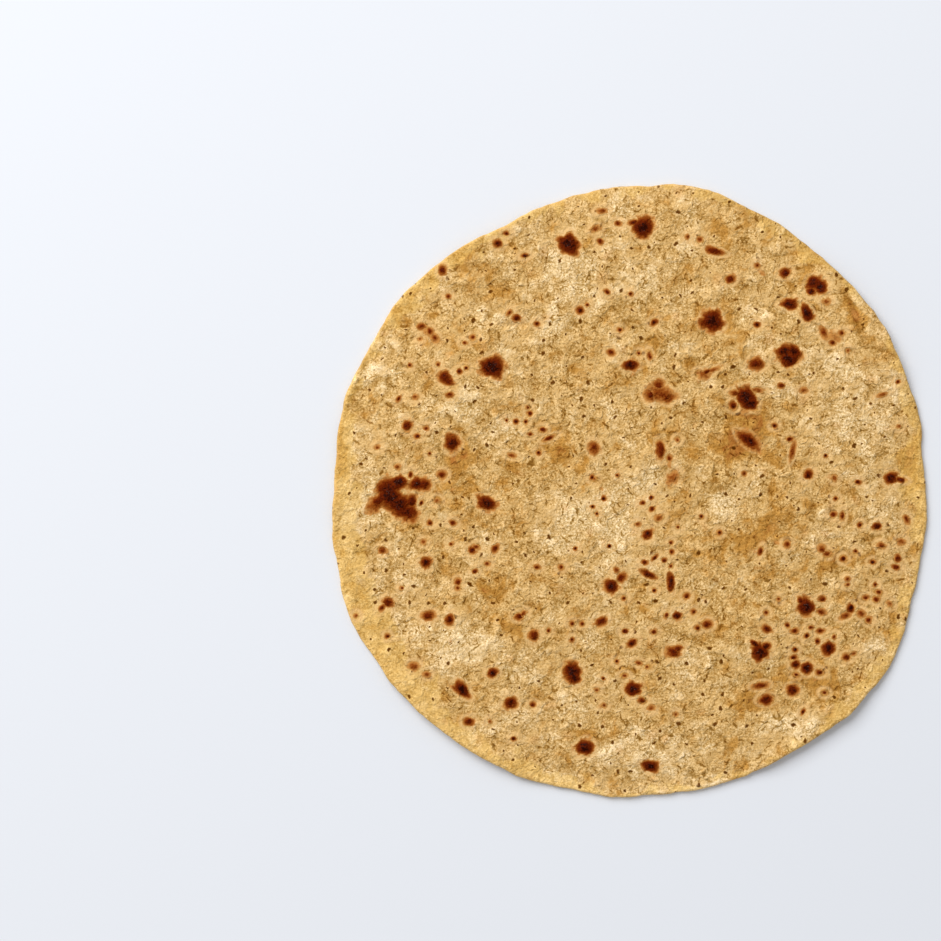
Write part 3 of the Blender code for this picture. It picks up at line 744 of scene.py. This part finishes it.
def mesh_arrays(mesh):
    """Places of the points, and for each face corner its point and its face."""
    points = np.empty(len(mesh.vertices) * 3, np.float32)
    mesh.vertices.foreach_get("co", points)
    corners = np.empty(len(mesh.loops), np.int32)
    mesh.loops.foreach_get("vertex_index", corners)
    sizes = np.empty(len(mesh.polygons), np.int32)
    mesh.polygons.foreach_get("loop_total", sizes)
    return points.reshape(-1, 3).astype(float), corners, np.repeat(np.arange(len(sizes)), sizes)


def place_spots(mesh, upper_faces):
    """Stores, at each face corner, its place in the frame of the spot nearest to that face, and its char.

    The place is (along / half length, across / half width, mean half width in millimetres). It is exact
    within each face because it is linear, and no face mixes two spots.
    """
    points, corners, face_of = mesh_arrays(mesh)
    across, up = pole_place()
    x, y = points[corners, 0] - across, points[corners, 1] - up
    count = np.bincount(face_of)
    middle_x, middle_y = np.bincount(face_of, x) / count, np.bincount(face_of, y) / count
    place, char = np.empty((len(corners), 3)), np.empty(len(corners))
    for upper in (True, False):
        spots = np.array(face_marks(upper)["spots"])
        chosen = nearest_spots(middle_x, middle_y, spots)
        here = (face_of < upper_faces) == upper
        picked = spots[chosen[face_of[here]]].T
        along, aside = mark_shares(x[here], y[here], picked)
        place[here] = np.column_stack([along, aside, (picked[2] + picked[3]) / 4])
        char[here] = picked[5]
    store(mesh, "spot_place", place, "CORNER")
    store(mesh, "spot_char", char, "CORNER")


def lay_out_for_bake(mesh, upper_faces):
    """Two discs in one square: the upper face large in one corner, the underside smaller in the other.

    Each point keeps its direction from the middle. Its distance is stretched towards the outline, so that
    the rows round the rim don't fold onto each other.
    """
    points, corners, face_of = mesh_arrays(mesh)
    widest = np.hypot(points[:, 0], points[:, 1]).max() * DISC_SLACK
    gap = np.empty(len(mesh.vertices), np.float32)
    mesh.attributes["rim_gap"].data.foreach_get("value", gap)
    grown = 1.0 + RIM_STRETCH * np.clip(1.0 - gap * MM / RIM_DEPTH, 0.0, 1.0)
    flat = points[:, :2] / widest * grown[:, None]
    upper_uv = DISC_MARGIN + UPPER_DISC + flat * UPPER_DISC
    under_uv = 1.0 - DISC_MARGIN - UNDER_DISC + flat * (UNDER_DISC, -UNDER_DISC)
    is_upper = (face_of < upper_faces)[:, None]
    chosen = np.where(is_upper, upper_uv[corners], under_uv[corners])
    layer = mesh.uv_layers.new(name="OFBake")
    layer.uv.foreach_set("vector", chosen.astype(np.float32).ravel())


# ---- Node helpers ----


class Value:
    """A number, vector or colour in a node tree, with which sums and products are written out plainly."""

    def __init__(self, socket):
        self.socket = socket
        self.tree = socket.id_data

    def joined(self, operation, first, second):
        kind = "ShaderNodeMath" if self.socket.type == "VALUE" else "ShaderNodeVectorMath"
        return add(self.tree, kind, {0: first, 1: second}, operation=operation)[0]

    def __add__(self, other):
        return self.joined("ADD", self, other)

    def __sub__(self, other):
        return self.joined("SUBTRACT", self, other)

    def __rsub__(self, other):
        return self.joined("SUBTRACT", other, self)

    def __mul__(self, other):
        return self.joined("MULTIPLY", self, other)

    def __truediv__(self, other):
        return self.joined("DIVIDE", self, other)

    def __rtruediv__(self, other):
        return self.joined("DIVIDE", other, self)


def feed(socket, value):
    """Links a socket to a node's output, or sets its own value."""
    if isinstance(value, Value):
        socket.id_data.links.new(value.socket, socket)
    else:
        socket.default_value = value


def add(tree, kind, inputs=None, **settings):
    """A new node's outputs, by name and by number, once its settings and its inputs are in place."""
    node = tree.nodes.new(kind)
    for name, value in settings.items():
        setattr(node, name, value)
    for key, value in (inputs or {}).items():
        feed(node.inputs[key], value)
    return {key: Value(socket) for i, socket in enumerate(node.outputs) for key in (i, socket.name)}


def calc(operation, first, second=0.0, clamp=False):
    """A Math node for what the plain signs don't cover."""
    inputs = {0: first, 1: second}
    return add(first.tree, "ShaderNodeMath", inputs, operation=operation, use_clamp=clamp)[0]


def scaled(vector, scale):
    return add(vector.tree, "ShaderNodeVectorMath", {0: vector, "Scale": scale}, operation="SCALE")[0]


def centred(colour, reach):
    """A noise's colour as a vector that points up to half the reach every way."""
    return scaled(colour - (0.5, 0.5, 0.5), reach)


def length_of(along, aside):
    """Length of the flat vector with these two parts."""
    flat = add(along.tree, "ShaderNodeCombineXYZ", {0: along, 1: aside})[0]
    return add(along.tree, "ShaderNodeVectorMath", {0: flat}, operation="LENGTH")["Value"]


def fade(value, start, end, low=0.0, high=1.0):
    """`low` where the value is at `start`, `high` where it is at `end`, and a smooth S between."""
    inputs = {"Value": value, 1: start, 2: end, 3: low, 4: high}
    return add(value.tree, "ShaderNodeMapRange", inputs, interpolation_type="SMOOTHSTEP")[0]


def blend(share, first, second):
    """The first colour where the share is 0 and the second where it is 1."""
    return add(share.tree, "ShaderNodeMix", {0: share, 6: first, 7: second}, data_type="RGBA")[2]


def pick(share, first, second):
    """The first number where the share is 0 and the second where it is 1."""
    return add(share.tree, "ShaderNodeMix", {0: share, 2: first, 3: second}, data_type="FLOAT")[0]


def noise(vector, size, detail=2.0, roughness=0.55, distortion=0.0):
    """Noise with bumps about `size` across: a Factor, which is output 0, and a Color."""
    inputs = {"Scale": 1.0 / size, "Detail": detail, "Roughness": roughness, "Distortion": distortion}
    return add(vector.tree, "ShaderNodeTexNoise", {"Vector": vector, **inputs})


def attribute(tree, name, output="Fac"):
    return add(tree, "ShaderNodeAttribute", attribute_name=name)[output]


def use_group(tree, group, inputs):
    return add(tree, "ShaderNodeGroup", inputs, node_tree=group)


def new_group(name, inputs, outputs):
    """A node group and what it is given. Each input is named with its kind, or with its starting number."""
    tree = bpy.data.node_groups.new(name, "ShaderNodeTree")
    for label, kind in inputs.items():
        is_number = not isinstance(kind, str)
        kind_name = "NodeSocketFloat" if is_number else "NodeSocket" + kind
        socket = tree.interface.new_socket(label, in_out="INPUT", socket_type=kind_name)
        if is_number:
            socket.default_value = kind
    for label, kind in outputs.items():
        tree.interface.new_socket(label, in_out="OUTPUT", socket_type="NodeSocket" + kind)
    return tree, add(tree, "NodeGroupInput")


def finished_group(tree, results):
    """The group with its outputs fed by name and its nodes laid out."""
    ends = tree.nodes.new("NodeGroupOutput").inputs
    for name, value in results.items():
        feed(ends[name], value)
    line_up(tree)
    return tree


def line_up(tree):
    """Places each node one column right of the nodes that feed it."""
    column = {node: 0 for node in tree.nodes}
    for _ in tree.nodes:
        for link in tree.links:
            column[link.to_node] = max(column[link.to_node], column[link.from_node] + 1)
    filled = {}
    for node in tree.nodes:
        row = filled.get(column[node], 0)
        node.location = (220 * column[node], -190 * row)
        filled[column[node]] = row + 1


# ---- Node groups of the crust ----


def browning_group():
    """Browns a colour: each channel times the tint's channel raised to the power of the amount.

    It is how a film of crust darkens what is under it, so twice the amount is two films. A negative amount
    lightens, by the flour's tint.
    """
    inputs = {"Color": "Color", "Tint": "Color", "Flour Tint": "Color", "Amount": 0.0}
    tree, given = new_group("Browning", inputs, {"Color": "Color"})
    amount = given["Amount"]
    tint = blend(fade(amount, 0.05, -0.05), given["Tint"], given["Flour Tint"])
    channels = add(tree, "ShaderNodeSeparateColor", {0: tint})
    powers = {i: calc("POWER", channels[i], amount) for i in range(3)}
    film = add(tree, "ShaderNodeCombineXYZ", powers)[0]
    return finished_group(tree, {"Color": given["Color"] * film})


def skin_grain_group():
    """The fine relief of a baked floury skin: how much it darkens a place, its height and its cracks.

    Lumps and folded wrinkles are read at places pushed about by a coarser noise, and grit at the place
    itself. Flakes are pale patches with crisp edges, where a noise is above a limit. Cracks are the thin
    lines where another noise crosses its middle value, kept only here and there. Pushed and Frayed are the
    places moved by the coarse noise and by a fine one, for marks with uneven outlines. The darkening
    follows the height: lumps, ridges and grit are lighter where they rise and darker where they sink, and
    thin folds are dark grooves, so it is partly the skin's own grain and partly painted shade in its hollows
    and painted light on its tops.
    """
    sizes = {"Lump Size": 3.8 * MM, "Wrinkle Size": 2.2 * MM, "Grit Size": 0.62 * MM}
    outputs = {"Shade": "Float", "Height": "Float", "Crack": "Float", "Pushed": "Vector", "Frayed": "Vector"}
    tree, given = new_group("Skin Grain", {"Vector": "Vector", **sizes}, outputs)
    place = given["Vector"]
    at = place + centred(noise(place, 2.8 * MM)["Color"], 2.6 * MM)
    lumps = noise(at, given["Lump Size"], 2.0, 0.6)[0] - 0.5
    folded = calc("ABSOLUTE", noise(at, given["Wrinkle Size"], 2.0, 0.6)[0] * 2.0 - 1.0)
    ridge = 0.42 - calc("MULTIPLY", folded, 2.2, clamp=True)
    grit = noise(place, given["Grit Size"], 1.0, 0.9)[0] - 0.5
    flakes = fade(noise(at, 6.0 * MM, 3.0)[0], 0.535, 0.585)
    crumple = calc("ABSOLUTE", noise(at, 9.0 * MM, 1.0, 0.5)[0] - 0.5)
    fold = fade(crumple, 0.050, 0.004) * fade(noise(place, 8.0 * MM)[0], 0.48, 0.62)
    split = calc("ABSOLUTE", noise(at, 4.2 * MM, 0.0, 0.5)[0] - 0.5)
    # Painted shade and light: darker where the relief sinks and along the folds, lighter where it rises.
    shade = lumps * -1.00 + ridge * -0.18 + grit * -1.9 + fold * 0.30
    fray = centred(noise(place, 0.9 * MM, 1.0)["Color"], 0.9 * MM)
    return finished_group(
        tree,
        {
            "Shade": shade * fade(flakes, 0.0, 1.0, 1.1, 0.6) + flakes * -0.10,
            "Height": (lumps * 0.90 + ridge * 0.18 + grit * 0.12 + fold * -0.12 + flakes * 0.07) * MM,
            "Crack": fade(split, 0.020, 0.006) * fade(noise(place, 3.4 * MM, 1.0)[0], 0.52, 0.60),
            "Pushed": at + fray,
            "Frayed": place + fray,
        },
    )


def scattered_marks_group():
    """Short marks strewn one to a cell, each with its own place, turn, length and strength."""
    sizes = {"Spacing": 3.0 * MM, "Share": 0.5, "Length": 0.8 * MM, "Width": 0.5 * MM}
    inputs = {"Vector": "Vector", **sizes, "Softness": 0.5, "Seed": 0.0}
    tree, given = new_group("Scattered Marks", inputs, {"Mask": "Float", "Foot": "Float", "Ring": "Float"})
    spacing, softness = given["Spacing"], given["Softness"]
    shift = add(tree, "ShaderNodeCombineXYZ", {0: given["Seed"] * 3.71, 1: given["Seed"]})[0]
    at = scaled(given["Vector"], 1.0 / spacing) + shift
    cells = add(tree, "ShaderNodeTexVoronoi", {"Vector": at, "Scale": 1.0}, voronoi_dimensions="2D")
    chance = add(tree, "ShaderNodeSeparateColor", {0: cells["Color"]})
    spin = {"Vector": at - cells["Position"], "Angle": chance[0] * (2 * math.pi)}
    turned = add(tree, "ShaderNodeVectorRotate", spin, rotation_type="Z_AXIS")[0]
    parts = add(tree, "ShaderNodeSeparateXYZ", {0: scaled(turned, spacing)})
    size = calc("POWER", chance[1], 2.0) * 0.30 + 0.20
    reach = length_of(parts[0] / (given["Length"] * size), parts[1] / (given["Width"] * size))
    kept = calc("LESS_THAN", chance[2], given["Share"])
    return finished_group(
        tree,
        {
            "Mask": fade(reach, softness + 1.0, 1.0 - softness) * kept,
            "Foot": fade(reach, 1.55, 1.25) * fade(reach, 0.9, 1.2) * kept,
            "Ring": fade(reach, 3.0, 2.0) * fade(reach, 1.0, 1.5) * kept,
        },
    )


def wheat_tone_group():
    """Colour of unburnt dough: flour, wheat, golden and toasted, by the tone and by cloudy mottling."""
    colours = dict.fromkeys(("Flour", "Wheat", "Golden", "Toasted"), "Color")
    inputs = {"Vector": "Vector", "Tone": 0.0, "Mottle": 1.0, **colours}
    tree, given = new_group("Wheat Tone", inputs, {"Color": "Color", "Level": "Float"})
    clouds = noise(given["Vector"], 15.0 * MM, 3.0, 0.6, 0.3)[0]
    patches = noise(given["Vector"], 5.0 * MM, 3.0, 0.6, 0.5)[0]
    level = (clouds * 2.8 + patches * 4.0 - 3.4) * given["Mottle"] + given["Tone"] * 1.2
    colour = given["Flour"]
    for name, start, end in (("Wheat", -1.1, 0.0), ("Golden", 0.05, 0.90), ("Toasted", 1.0, 1.7)):
        colour = blend(fade(level, start, end), colour, given[name])
    return finished_group(tree, {"Color": colour, "Level": level})


def burnt_spot_group():
    """Colours a burn by its depth: pale halo, orange fringe, red-brown ring, maroon and black char.

    Gap is the distance in millimetres outside the edge. Depth goes from 0 a little outside the edge to the
    burn's char at its middle, or as far in as Size lets the darkening reach.
    """
    colours = dict.fromkeys(("Color", "Halo", "Orange", "Russet", "Maroon", "Black", "Glint"), "Color")
    inputs = {"Vector": "Vector", "Gap": 8.0, "Char": 0.0, "Size": 1.0, "Scorch": 0.0, **colours}
    tree, given = new_group("Burnt Spot", inputs, {"Color": "Color", "Depth": "Float", "Height": "Float"})
    place, size = given["Vector"], given["Size"]
    patchy = add(tree, "ShaderNodeSeparateColor", {0: noise(place, 2.2 * MM, 2.0, 0.5)["Color"]})
    ragged, uneven = patchy[0] - 0.5, patchy[1]
    fuzz = noise(place, 0.9 * MM, 2.0, 0.7)[0] - 0.5
    speckle = noise(place, 0.5 * MM, 1.0, 0.6)[0]
    gap = given["Gap"] + ragged * calc("MINIMUM", size * 0.62, 1.5) + fuzz * calc("MINIMUM", size * 0.22, 0.6)
    gap = gap - fade(size, 0.4, 1.6, 0.06, 0.20)
    halo = fade(gap, 2.1, 1.1) * fade(gap, 0.3, 0.9) * fade(ragged, -0.16, 0.10, 0.30, 0.85)
    scorch = fade(given["Scorch"] + ragged * 1.1 + fuzz * 0.4, 0.16, 1.10) * 0.44
    held = calc("MINIMUM", size, 2.8)
    start = (held * 0.32 + 0.36) * fade(uneven, 0.36, 0.64, 0.70, 1.85)
    inside = fade(gap, start, held * -0.19 - 0.26) * 0.62 + fade(gap, held * -0.13, held * -0.90) * 0.38
    mottled = fuzz * fade(inside, 0.35, 0.80) * -1.3 + 0.97
    depth = calc("MAXIMUM", inside * mottled * given["Char"], scorch)
    colour = blend(halo, given["Color"], given["Halo"])
    ramp = (("Orange", 0.0, 0.18), ("Russet", 0.16, 0.40), ("Maroon", 0.36, 0.62), ("Black", 0.62, 1.0))
    for name, start, end in ramp:
        colour = blend(fade(depth, start, end), colour, given[name])
    # Painted highlight: pale glints in the deep char, partly ash specks and partly the char's gloss.
    glint = fade(speckle, 0.60, 0.74) * fade(depth, 0.7, 0.95) * fade(uneven, 0.46, 0.54) * 0.60
    bubbly = (patchy[0] + speckle) * fade(depth, 0.4, 0.8)
    results = {"Color": blend(glint, colour, given["Glint"]), "Depth": depth, "Height": bubbly * (0.12 * MM)}
    return finished_group(tree, results)


# The small marks strewn over the skin: (the grain's output that frays them, spacing, share of the cells that
# hold one, length, width, softness, seed).
STREWN_MARKS = {
    "bran": ("Pushed", 2.9, 0.46, 2.8, 0.70, 0.45, 1),
    "pinholes": ("Frayed", 4.6, 0.40, 1.5, 1.05, 0.40, 2),
    "toasted": ("Pushed", 9.0, 0.30, 4.0, 3.0, 0.7, 3),
    "bubbles": ("Pushed", 6.6, 0.40, 4.6, 3.8, 0.3, 4),
}


def strewn_marks(tree, group, grain, seed):
    """Each kind of small mark as its group's outputs, by name."""
    made = {}
    for name, (place, spacing, share, length, width, softness, own_seed) in STREWN_MARKS.items():
        sizes = {"Spacing": spacing * MM, "Length": length * MM, "Width": width * MM}
        look = {"Share": share, "Softness": softness, "Seed": seed + own_seed}
        made[name] = use_group(tree, group, {"Vector": grain[place], **sizes, **look})
    return made


def spot_gap(tree):
    """Distance outside the nearest small spot's edge, its size and its char, from the stored places."""
    parts = add(tree, "ShaderNodeSeparateXYZ", {0: attribute(tree, "spot_place", "Vector")})
    gap = (length_of(parts[0], parts[1]) - 1.0) * parts[2]
    return gap, parts[2], attribute(tree, "spot_char")


def named_colours(crust, *names):
    """The crust's colours under the names of the node groups' inputs."""
    return {name.title(): getattr(crust, name) for name in names}


def crust_material(name, groups, crust, seed, tone):
    """One face's crust: wheat tone, grain, flecks, pinholes, burns and the golden rim.

    The faces differ in the seed of their scattered marks and in how golden they are.
    """
    material = bpy.data.materials.new(name)
    material.use_nodes = True
    tree = material.node_tree
    shader = tree.nodes["Principled BSDF"].inputs
    at = add(tree, "ShaderNodeTexCoord")["Object"] + tuple(seed * step for step in SEED_STEP)
    rim_gap = attribute(tree, "rim_gap")
    wobble = noise(at, 7.0 * MM, 2.0, 0.6)[0] * 16.0 - 8.0
    rim = fade(attribute(tree, "rim_skin") + wobble, -1.2, 1.2)

    grain = use_group(tree, groups["grain"], {"Vector": at})
    tones = {"Vector": at, "Tone": attribute(tree, "tone") + tone, "Mottle": crust.mottle}
    tones |= named_colours(crust, "flour", "wheat", "golden", "toasted")
    wheat = use_group(tree, groups["wheat"], tones)
    marks = strewn_marks(tree, groups["marks"], grain, seed)
    pinholes, bubbles = marks["pinholes"], marks["bubbles"]

    smooth = calc("MAXIMUM", rim, fade(wheat["Level"], 0.3, 1.2))
    dark_line = calc("MAXIMUM", grain["Crack"], marks["bran"]["Mask"]) * fade(rim, 1.0, 0.2, 0.2, 1.0)
    shade = grain["Shade"] * fade(smooth, 0.0, 1.0, 1.0, 0.60)
    shade = shade + dark_line * 0.74 + pinholes["Mask"] * 0.6 + pinholes["Ring"] * -0.12
    # Painted shade and light: the creases' painted shade and highlight and the rim's browning and painted
    # light, and painted shade round the foot of each bubble.
    shade = shade + attribute(tree, "crease_and_painted_shade") * 0.45 + bubbles["Mask"] * -0.17 + bubbles["Foot"] * 0.15
    shade = (shade + fade(rim_gap, 8.0, 3.5, 0.0, -0.09)) * crust.contrast
    shade = calc("MAXIMUM", calc("MAXIMUM", shade, shade * 0.87), -0.42)

    colour = blend(rim * 0.45, wheat["Color"], crust.rim)
    colour = blend(marks["toasted"]["Mask"] * 0.30, colour, crust.orange)
    browned = {"Color": colour, "Tint": crust.film, "Flour Tint": crust.dusting, "Amount": shade}
    colour = use_group(tree, groups["browning"], browned)["Color"]
    colour = blend(pinholes["Mask"] * 0.9, colour, crust.pinhole)
    # Painted highlight: a pale line along the outermost rim.
    colour = blend(fade(rim_gap, 0.75, 0.1) * 0.25, colour, crust.edge)

    small_gap, small_size, small_char = spot_gap(tree)
    large_gap = attribute(tree, "burn_gap")
    is_small = calc("LESS_THAN", small_gap, large_gap)
    burns = {
        "Vector": at,
        "Color": colour,
        "Gap": calc("MINIMUM", small_gap, large_gap),
        "Char": pick(is_small, attribute(tree, "burn_char"), small_char),
        "Size": pick(is_small, attribute(tree, "burn_size"), small_size),
        "Scorch": attribute(tree, "scorch"),
    }
    burns |= named_colours(crust, "halo", "orange", "russet", "maroon", "black", "glint")
    burnt = use_group(tree, groups["burnt"], burns)

    feed(shader["Base Color"], burnt["Color"])
    gloss = fade(burnt["Depth"], 0.45, 0.9, 0.0, 0.30)
    feed(shader["Roughness"], crust.roughness - gloss + rim * -0.08)
    height = (bubbles["Mask"] * (0.12 * MM) + grain["Height"]) * crust.grain + burnt["Height"]
    bump = add(tree, "ShaderNodeBump", {"Height": height, "Distance": 1.0, "Strength": 1.0})
    feed(shader["Normal"], bump[0])
    shader["Specular IOR Level"].default_value = crust.sheen
    line_up(tree)
    return material


# ---- Settings ----


def srgb(red, green, blue):
    """A scene-linear colour from 8-bit display values."""
    shares = [value / 255 for value in (red, green, blue)]
    linear = [s / 12.92 if s <= 0.04045 else ((s + 0.055) / 1.055) ** 2.4 for s in shares]
    return (*linear, 1.0)


def colour_setting(name, description, *display):
    colour = srgb(*display)
    return FloatVectorProperty(
        name=name, description=description, default=colour, size=4, min=0.0, max=1.0, subtype="COLOR"
    )


def number_setting(name, description, default, high, low=0.0, **kind):
    return FloatProperty(name=name, description=description, default=default, min=low, max=high, **kind)


def length_setting(name, description, default, high):
    return number_setting(name, description, default, high, unit="LENGTH", precision=5)


class ChapatiDough(PropertyGroup):
    """Sizes of the bread."""

    thickness: length_setting("Thickness", "Thickness of the bread away from its rim", 2.4 * MM, 0.01)
    rim_thickness: length_setting("Rim Thickness", "Thickness at the outline", 1.7 * MM, 0.01)
    relief: number_setting("Relief", "Depth of the skin's lumps and blisters", 1.0, 2.0)


class ChapatiCrust(PropertyGroup):
    """Colours and finish of the baked crust."""

    flour: colour_setting("Flour", "Pale floury skin", 226, 192, 137)
    wheat: colour_setting("Wheat", "Plain baked dough", 203, 162, 99)
    golden: colour_setting("Golden", "Smooth golden patches", 184, 132, 60)
    toasted: colour_setting("Toasted", "Darkest unburnt patches", 160, 100, 40)
    rim: colour_setting("Rim", "Smooth band inside the rim", 224, 179, 94)
    film: colour_setting("Film", "What one film of browning lets through", 163, 138, 86)
    dusting: colour_setting("Dusting", "What lacks where loose flour lightens the skin", 163, 147, 112)
    pinhole: colour_setting("Pinhole", "Steam holes", 92, 46, 0)
    # Painted highlight along the outer edge of the rim.
    edge: colour_setting("Edge", "Light line round the rim", 236, 202, 142)
    halo: colour_setting("Halo", "Pale ring round a burn", 228, 184, 122)
    orange: colour_setting("Orange", "Outermost fringe of a burn", 193, 133, 67)
    russet: colour_setting("Russet", "Red-brown ring of a burn", 143, 74, 20)
    maroon: colour_setting("Maroon", "Darker part of a burn", 100, 30, 0)
    black: colour_setting("Black", "Char", 42, 6, 0)
    # Painted highlight in the char, partly ash specks.
    glint: colour_setting("Glint", "Ashy glints in the char", 116, 84, 74)
    mottle: number_setting("Mottle", "Strength of the cloudy patches", 1.0, 3.0)
    contrast: number_setting("Contrast", "Strength of the fine light and dark grain", 1.0, 3.0)
    roughness: number_setting("Roughness", "Roughness of the floury skin", 0.78, 1.0)
    sheen: number_setting("Sheen", "Strength of the crust's faint gloss", 0.03, 1.0)
    grain: number_setting("Grain", "Depth of the skin's fine relief", 1.0, 3.0)


class ChapatiStudio(PropertyGroup):
    """Floor, light and camera."""

    floor: colour_setting("Floor", "Plain pale floor", 228, 231, 237)
    key_power: number_setting("Key Power", "Power of the large soft light", 40.2, 200.0, unit="POWER")
    sky: number_setting("Sky", "Strength of the even light all round", 0.46, 4.0)
    view_width: length_setting("View Width", "Width of floor that the camera sees", 0.2804, 2.0)
    look_left: length_setting("Look Left", "How far left of the bread's pole the camera looks", 0.0477, 1.0)
    look_up: length_setting("Look Up", "How far above the bread's pole the camera looks", 0.0069, 1.0)
    lens: number_setting("Lens", "Focal length in millimetres", 85.0, 300.0, low=20.0)


# ---- Operators ----


def show(context, name, data):
    """A new object for the data, linked to the scene."""
    made = bpy.data.objects.new(name, data)
    context.scene.collection.objects.link(made)
    return made


class CHAPATI_OT_bread(Operator):
    """Build the bread with its baked crust"""

    bl_idname = "chapati.bread"
    bl_label = "Build Bread"

    def execute(self, context):
        dough, crust = context.scene.chapati_dough, context.scene.chapati_crust
        points, faces, fields = bread_arrays(dough)
        mesh = make_mesh("bread", place_on_solid(points), faces, fields)
        place_spots(mesh, len(faces["upper"]))
        lay_out_for_bake(mesh, len(faces["upper"]))
        groups = {
            "grain": skin_grain_group(),
            "browning": browning_group(),
            "marks": scattered_marks_group(),
            "wheat": wheat_tone_group(),
            "burnt": burnt_spot_group(),
        }
        mesh.materials.append(crust_material("upper_crust", groups, crust, seed=0.0, tone=0.0))
        mesh.materials.append(crust_material("lower_crust", groups, crust, seed=5.0, tone=0.1))
        bread = show(context, "bread", mesh)
        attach(bread, "root")
        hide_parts("chapati")
        return {"FINISHED"}


class CHAPATI_OT_stage(Operator):
    """Set up the floor, the light and the camera"""

    bl_idname = "chapati.stage"
    bl_label = "Set Stage"

    def execute(self, context):
        studio = context.scene.chapati_studio
        self.add_floor(context, studio)
        self.add_light(context, studio)
        self.add_camera(context, studio)
        context.scene.view_settings.view_transform = "Standard"
        return {"FINISHED"}

    def add_floor(self, context, studio):
        mesh = bpy.data.meshes.new("floor")
        corners = [(x * FLOOR_HALF, y * FLOOR_HALF, 0.0) for x, y in ((-1, -1), (1, -1), (1, 1), (-1, 1))]
        mesh.from_pydata(corners, [], [(0, 1, 2, 3)])
        material = bpy.data.materials.new("floor")
        material.use_nodes = True
        shader = material.node_tree.nodes["Principled BSDF"].inputs
        shader["Base Color"].default_value = studio.floor
        shader["Roughness"].default_value = 0.9
        shader["Specular IOR Level"].default_value = 0.1
        mesh.materials.append(material)
        floor = show(context, "floor", mesh)
        floor.location.z = BREAD_LOW.z - FLOOR_GAP

    def add_light(self, context, studio):
        world = bpy.data.worlds.new("studio")
        world.use_nodes = True
        sky = world.node_tree.nodes["Background"].inputs
        sky["Color"].default_value = (1.0, 1.0, 1.0, 1.0)
        sky["Strength"].default_value = studio.sky
        context.scene.world = world
        key = bpy.data.lights.new("key", "AREA")
        key.energy = studio.key_power
        key.size = LAMP_SIZE
        lamp = show(context, "key", key)
        lamp.location = LAMP_PLACE
        lamp.rotation_euler = (-lamp.location).to_track_quat("-Z", "Y").to_euler()

    def add_camera(self, context, studio):
        camera = bpy.data.cameras.new("camera")
        camera.lens = studio.lens
        camera.clip_start = 0.01
        across, up = pole_place()
        distance = studio.view_width * studio.lens / camera.sensor_width
        eye = show(context, "camera", camera)
        eye.location = (across - studio.look_left, up + studio.look_up, BREAD_LOW.z + distance)
        context.scene.camera = eye


class CHAPATI_PT_panel(Panel):
    """Sizes, colours and steps of the chapati"""

    bl_idname = "CHAPATI_PT_panel"
    bl_label = "Chapati"
    bl_space_type = "VIEW_3D"
    bl_region_type = "UI"
    bl_category = "Chapati"

    def draw(self, context):
        layout = self.layout
        for group in ("chapati_dough", "chapati_crust", "chapati_studio"):
            settings = getattr(context.scene, group)
            box = layout.box()
            for name in settings.__annotations__:
                box.prop(settings, name)
        for operator in (CHAPATI_OT_bread, CHAPATI_OT_stage):
            layout.operator(operator.bl_idname)


CLASSES = (ChapatiDough, ChapatiCrust, ChapatiStudio, CHAPATI_OT_bread, CHAPATI_OT_stage, CHAPATI_PT_panel)


def register():
    for cls in CLASSES:
        bpy.utils.register_class(cls)
    bpy.types.Scene.chapati_dough = PointerProperty(type=ChapatiDough)
    bpy.types.Scene.chapati_crust = PointerProperty(type=ChapatiCrust)
    bpy.types.Scene.chapati_studio = PointerProperty(type=ChapatiStudio)


def unregister():
    del bpy.types.Scene.chapati_studio
    del bpy.types.Scene.chapati_crust
    del bpy.types.Scene.chapati_dough
    for cls in reversed(CLASSES):
        bpy.utils.unregister_class(cls)


def main():
    register()
    bpy.ops.chapati.bread()
    bpy.ops.chapati.stage()


if __name__ == "__main__":
    main()
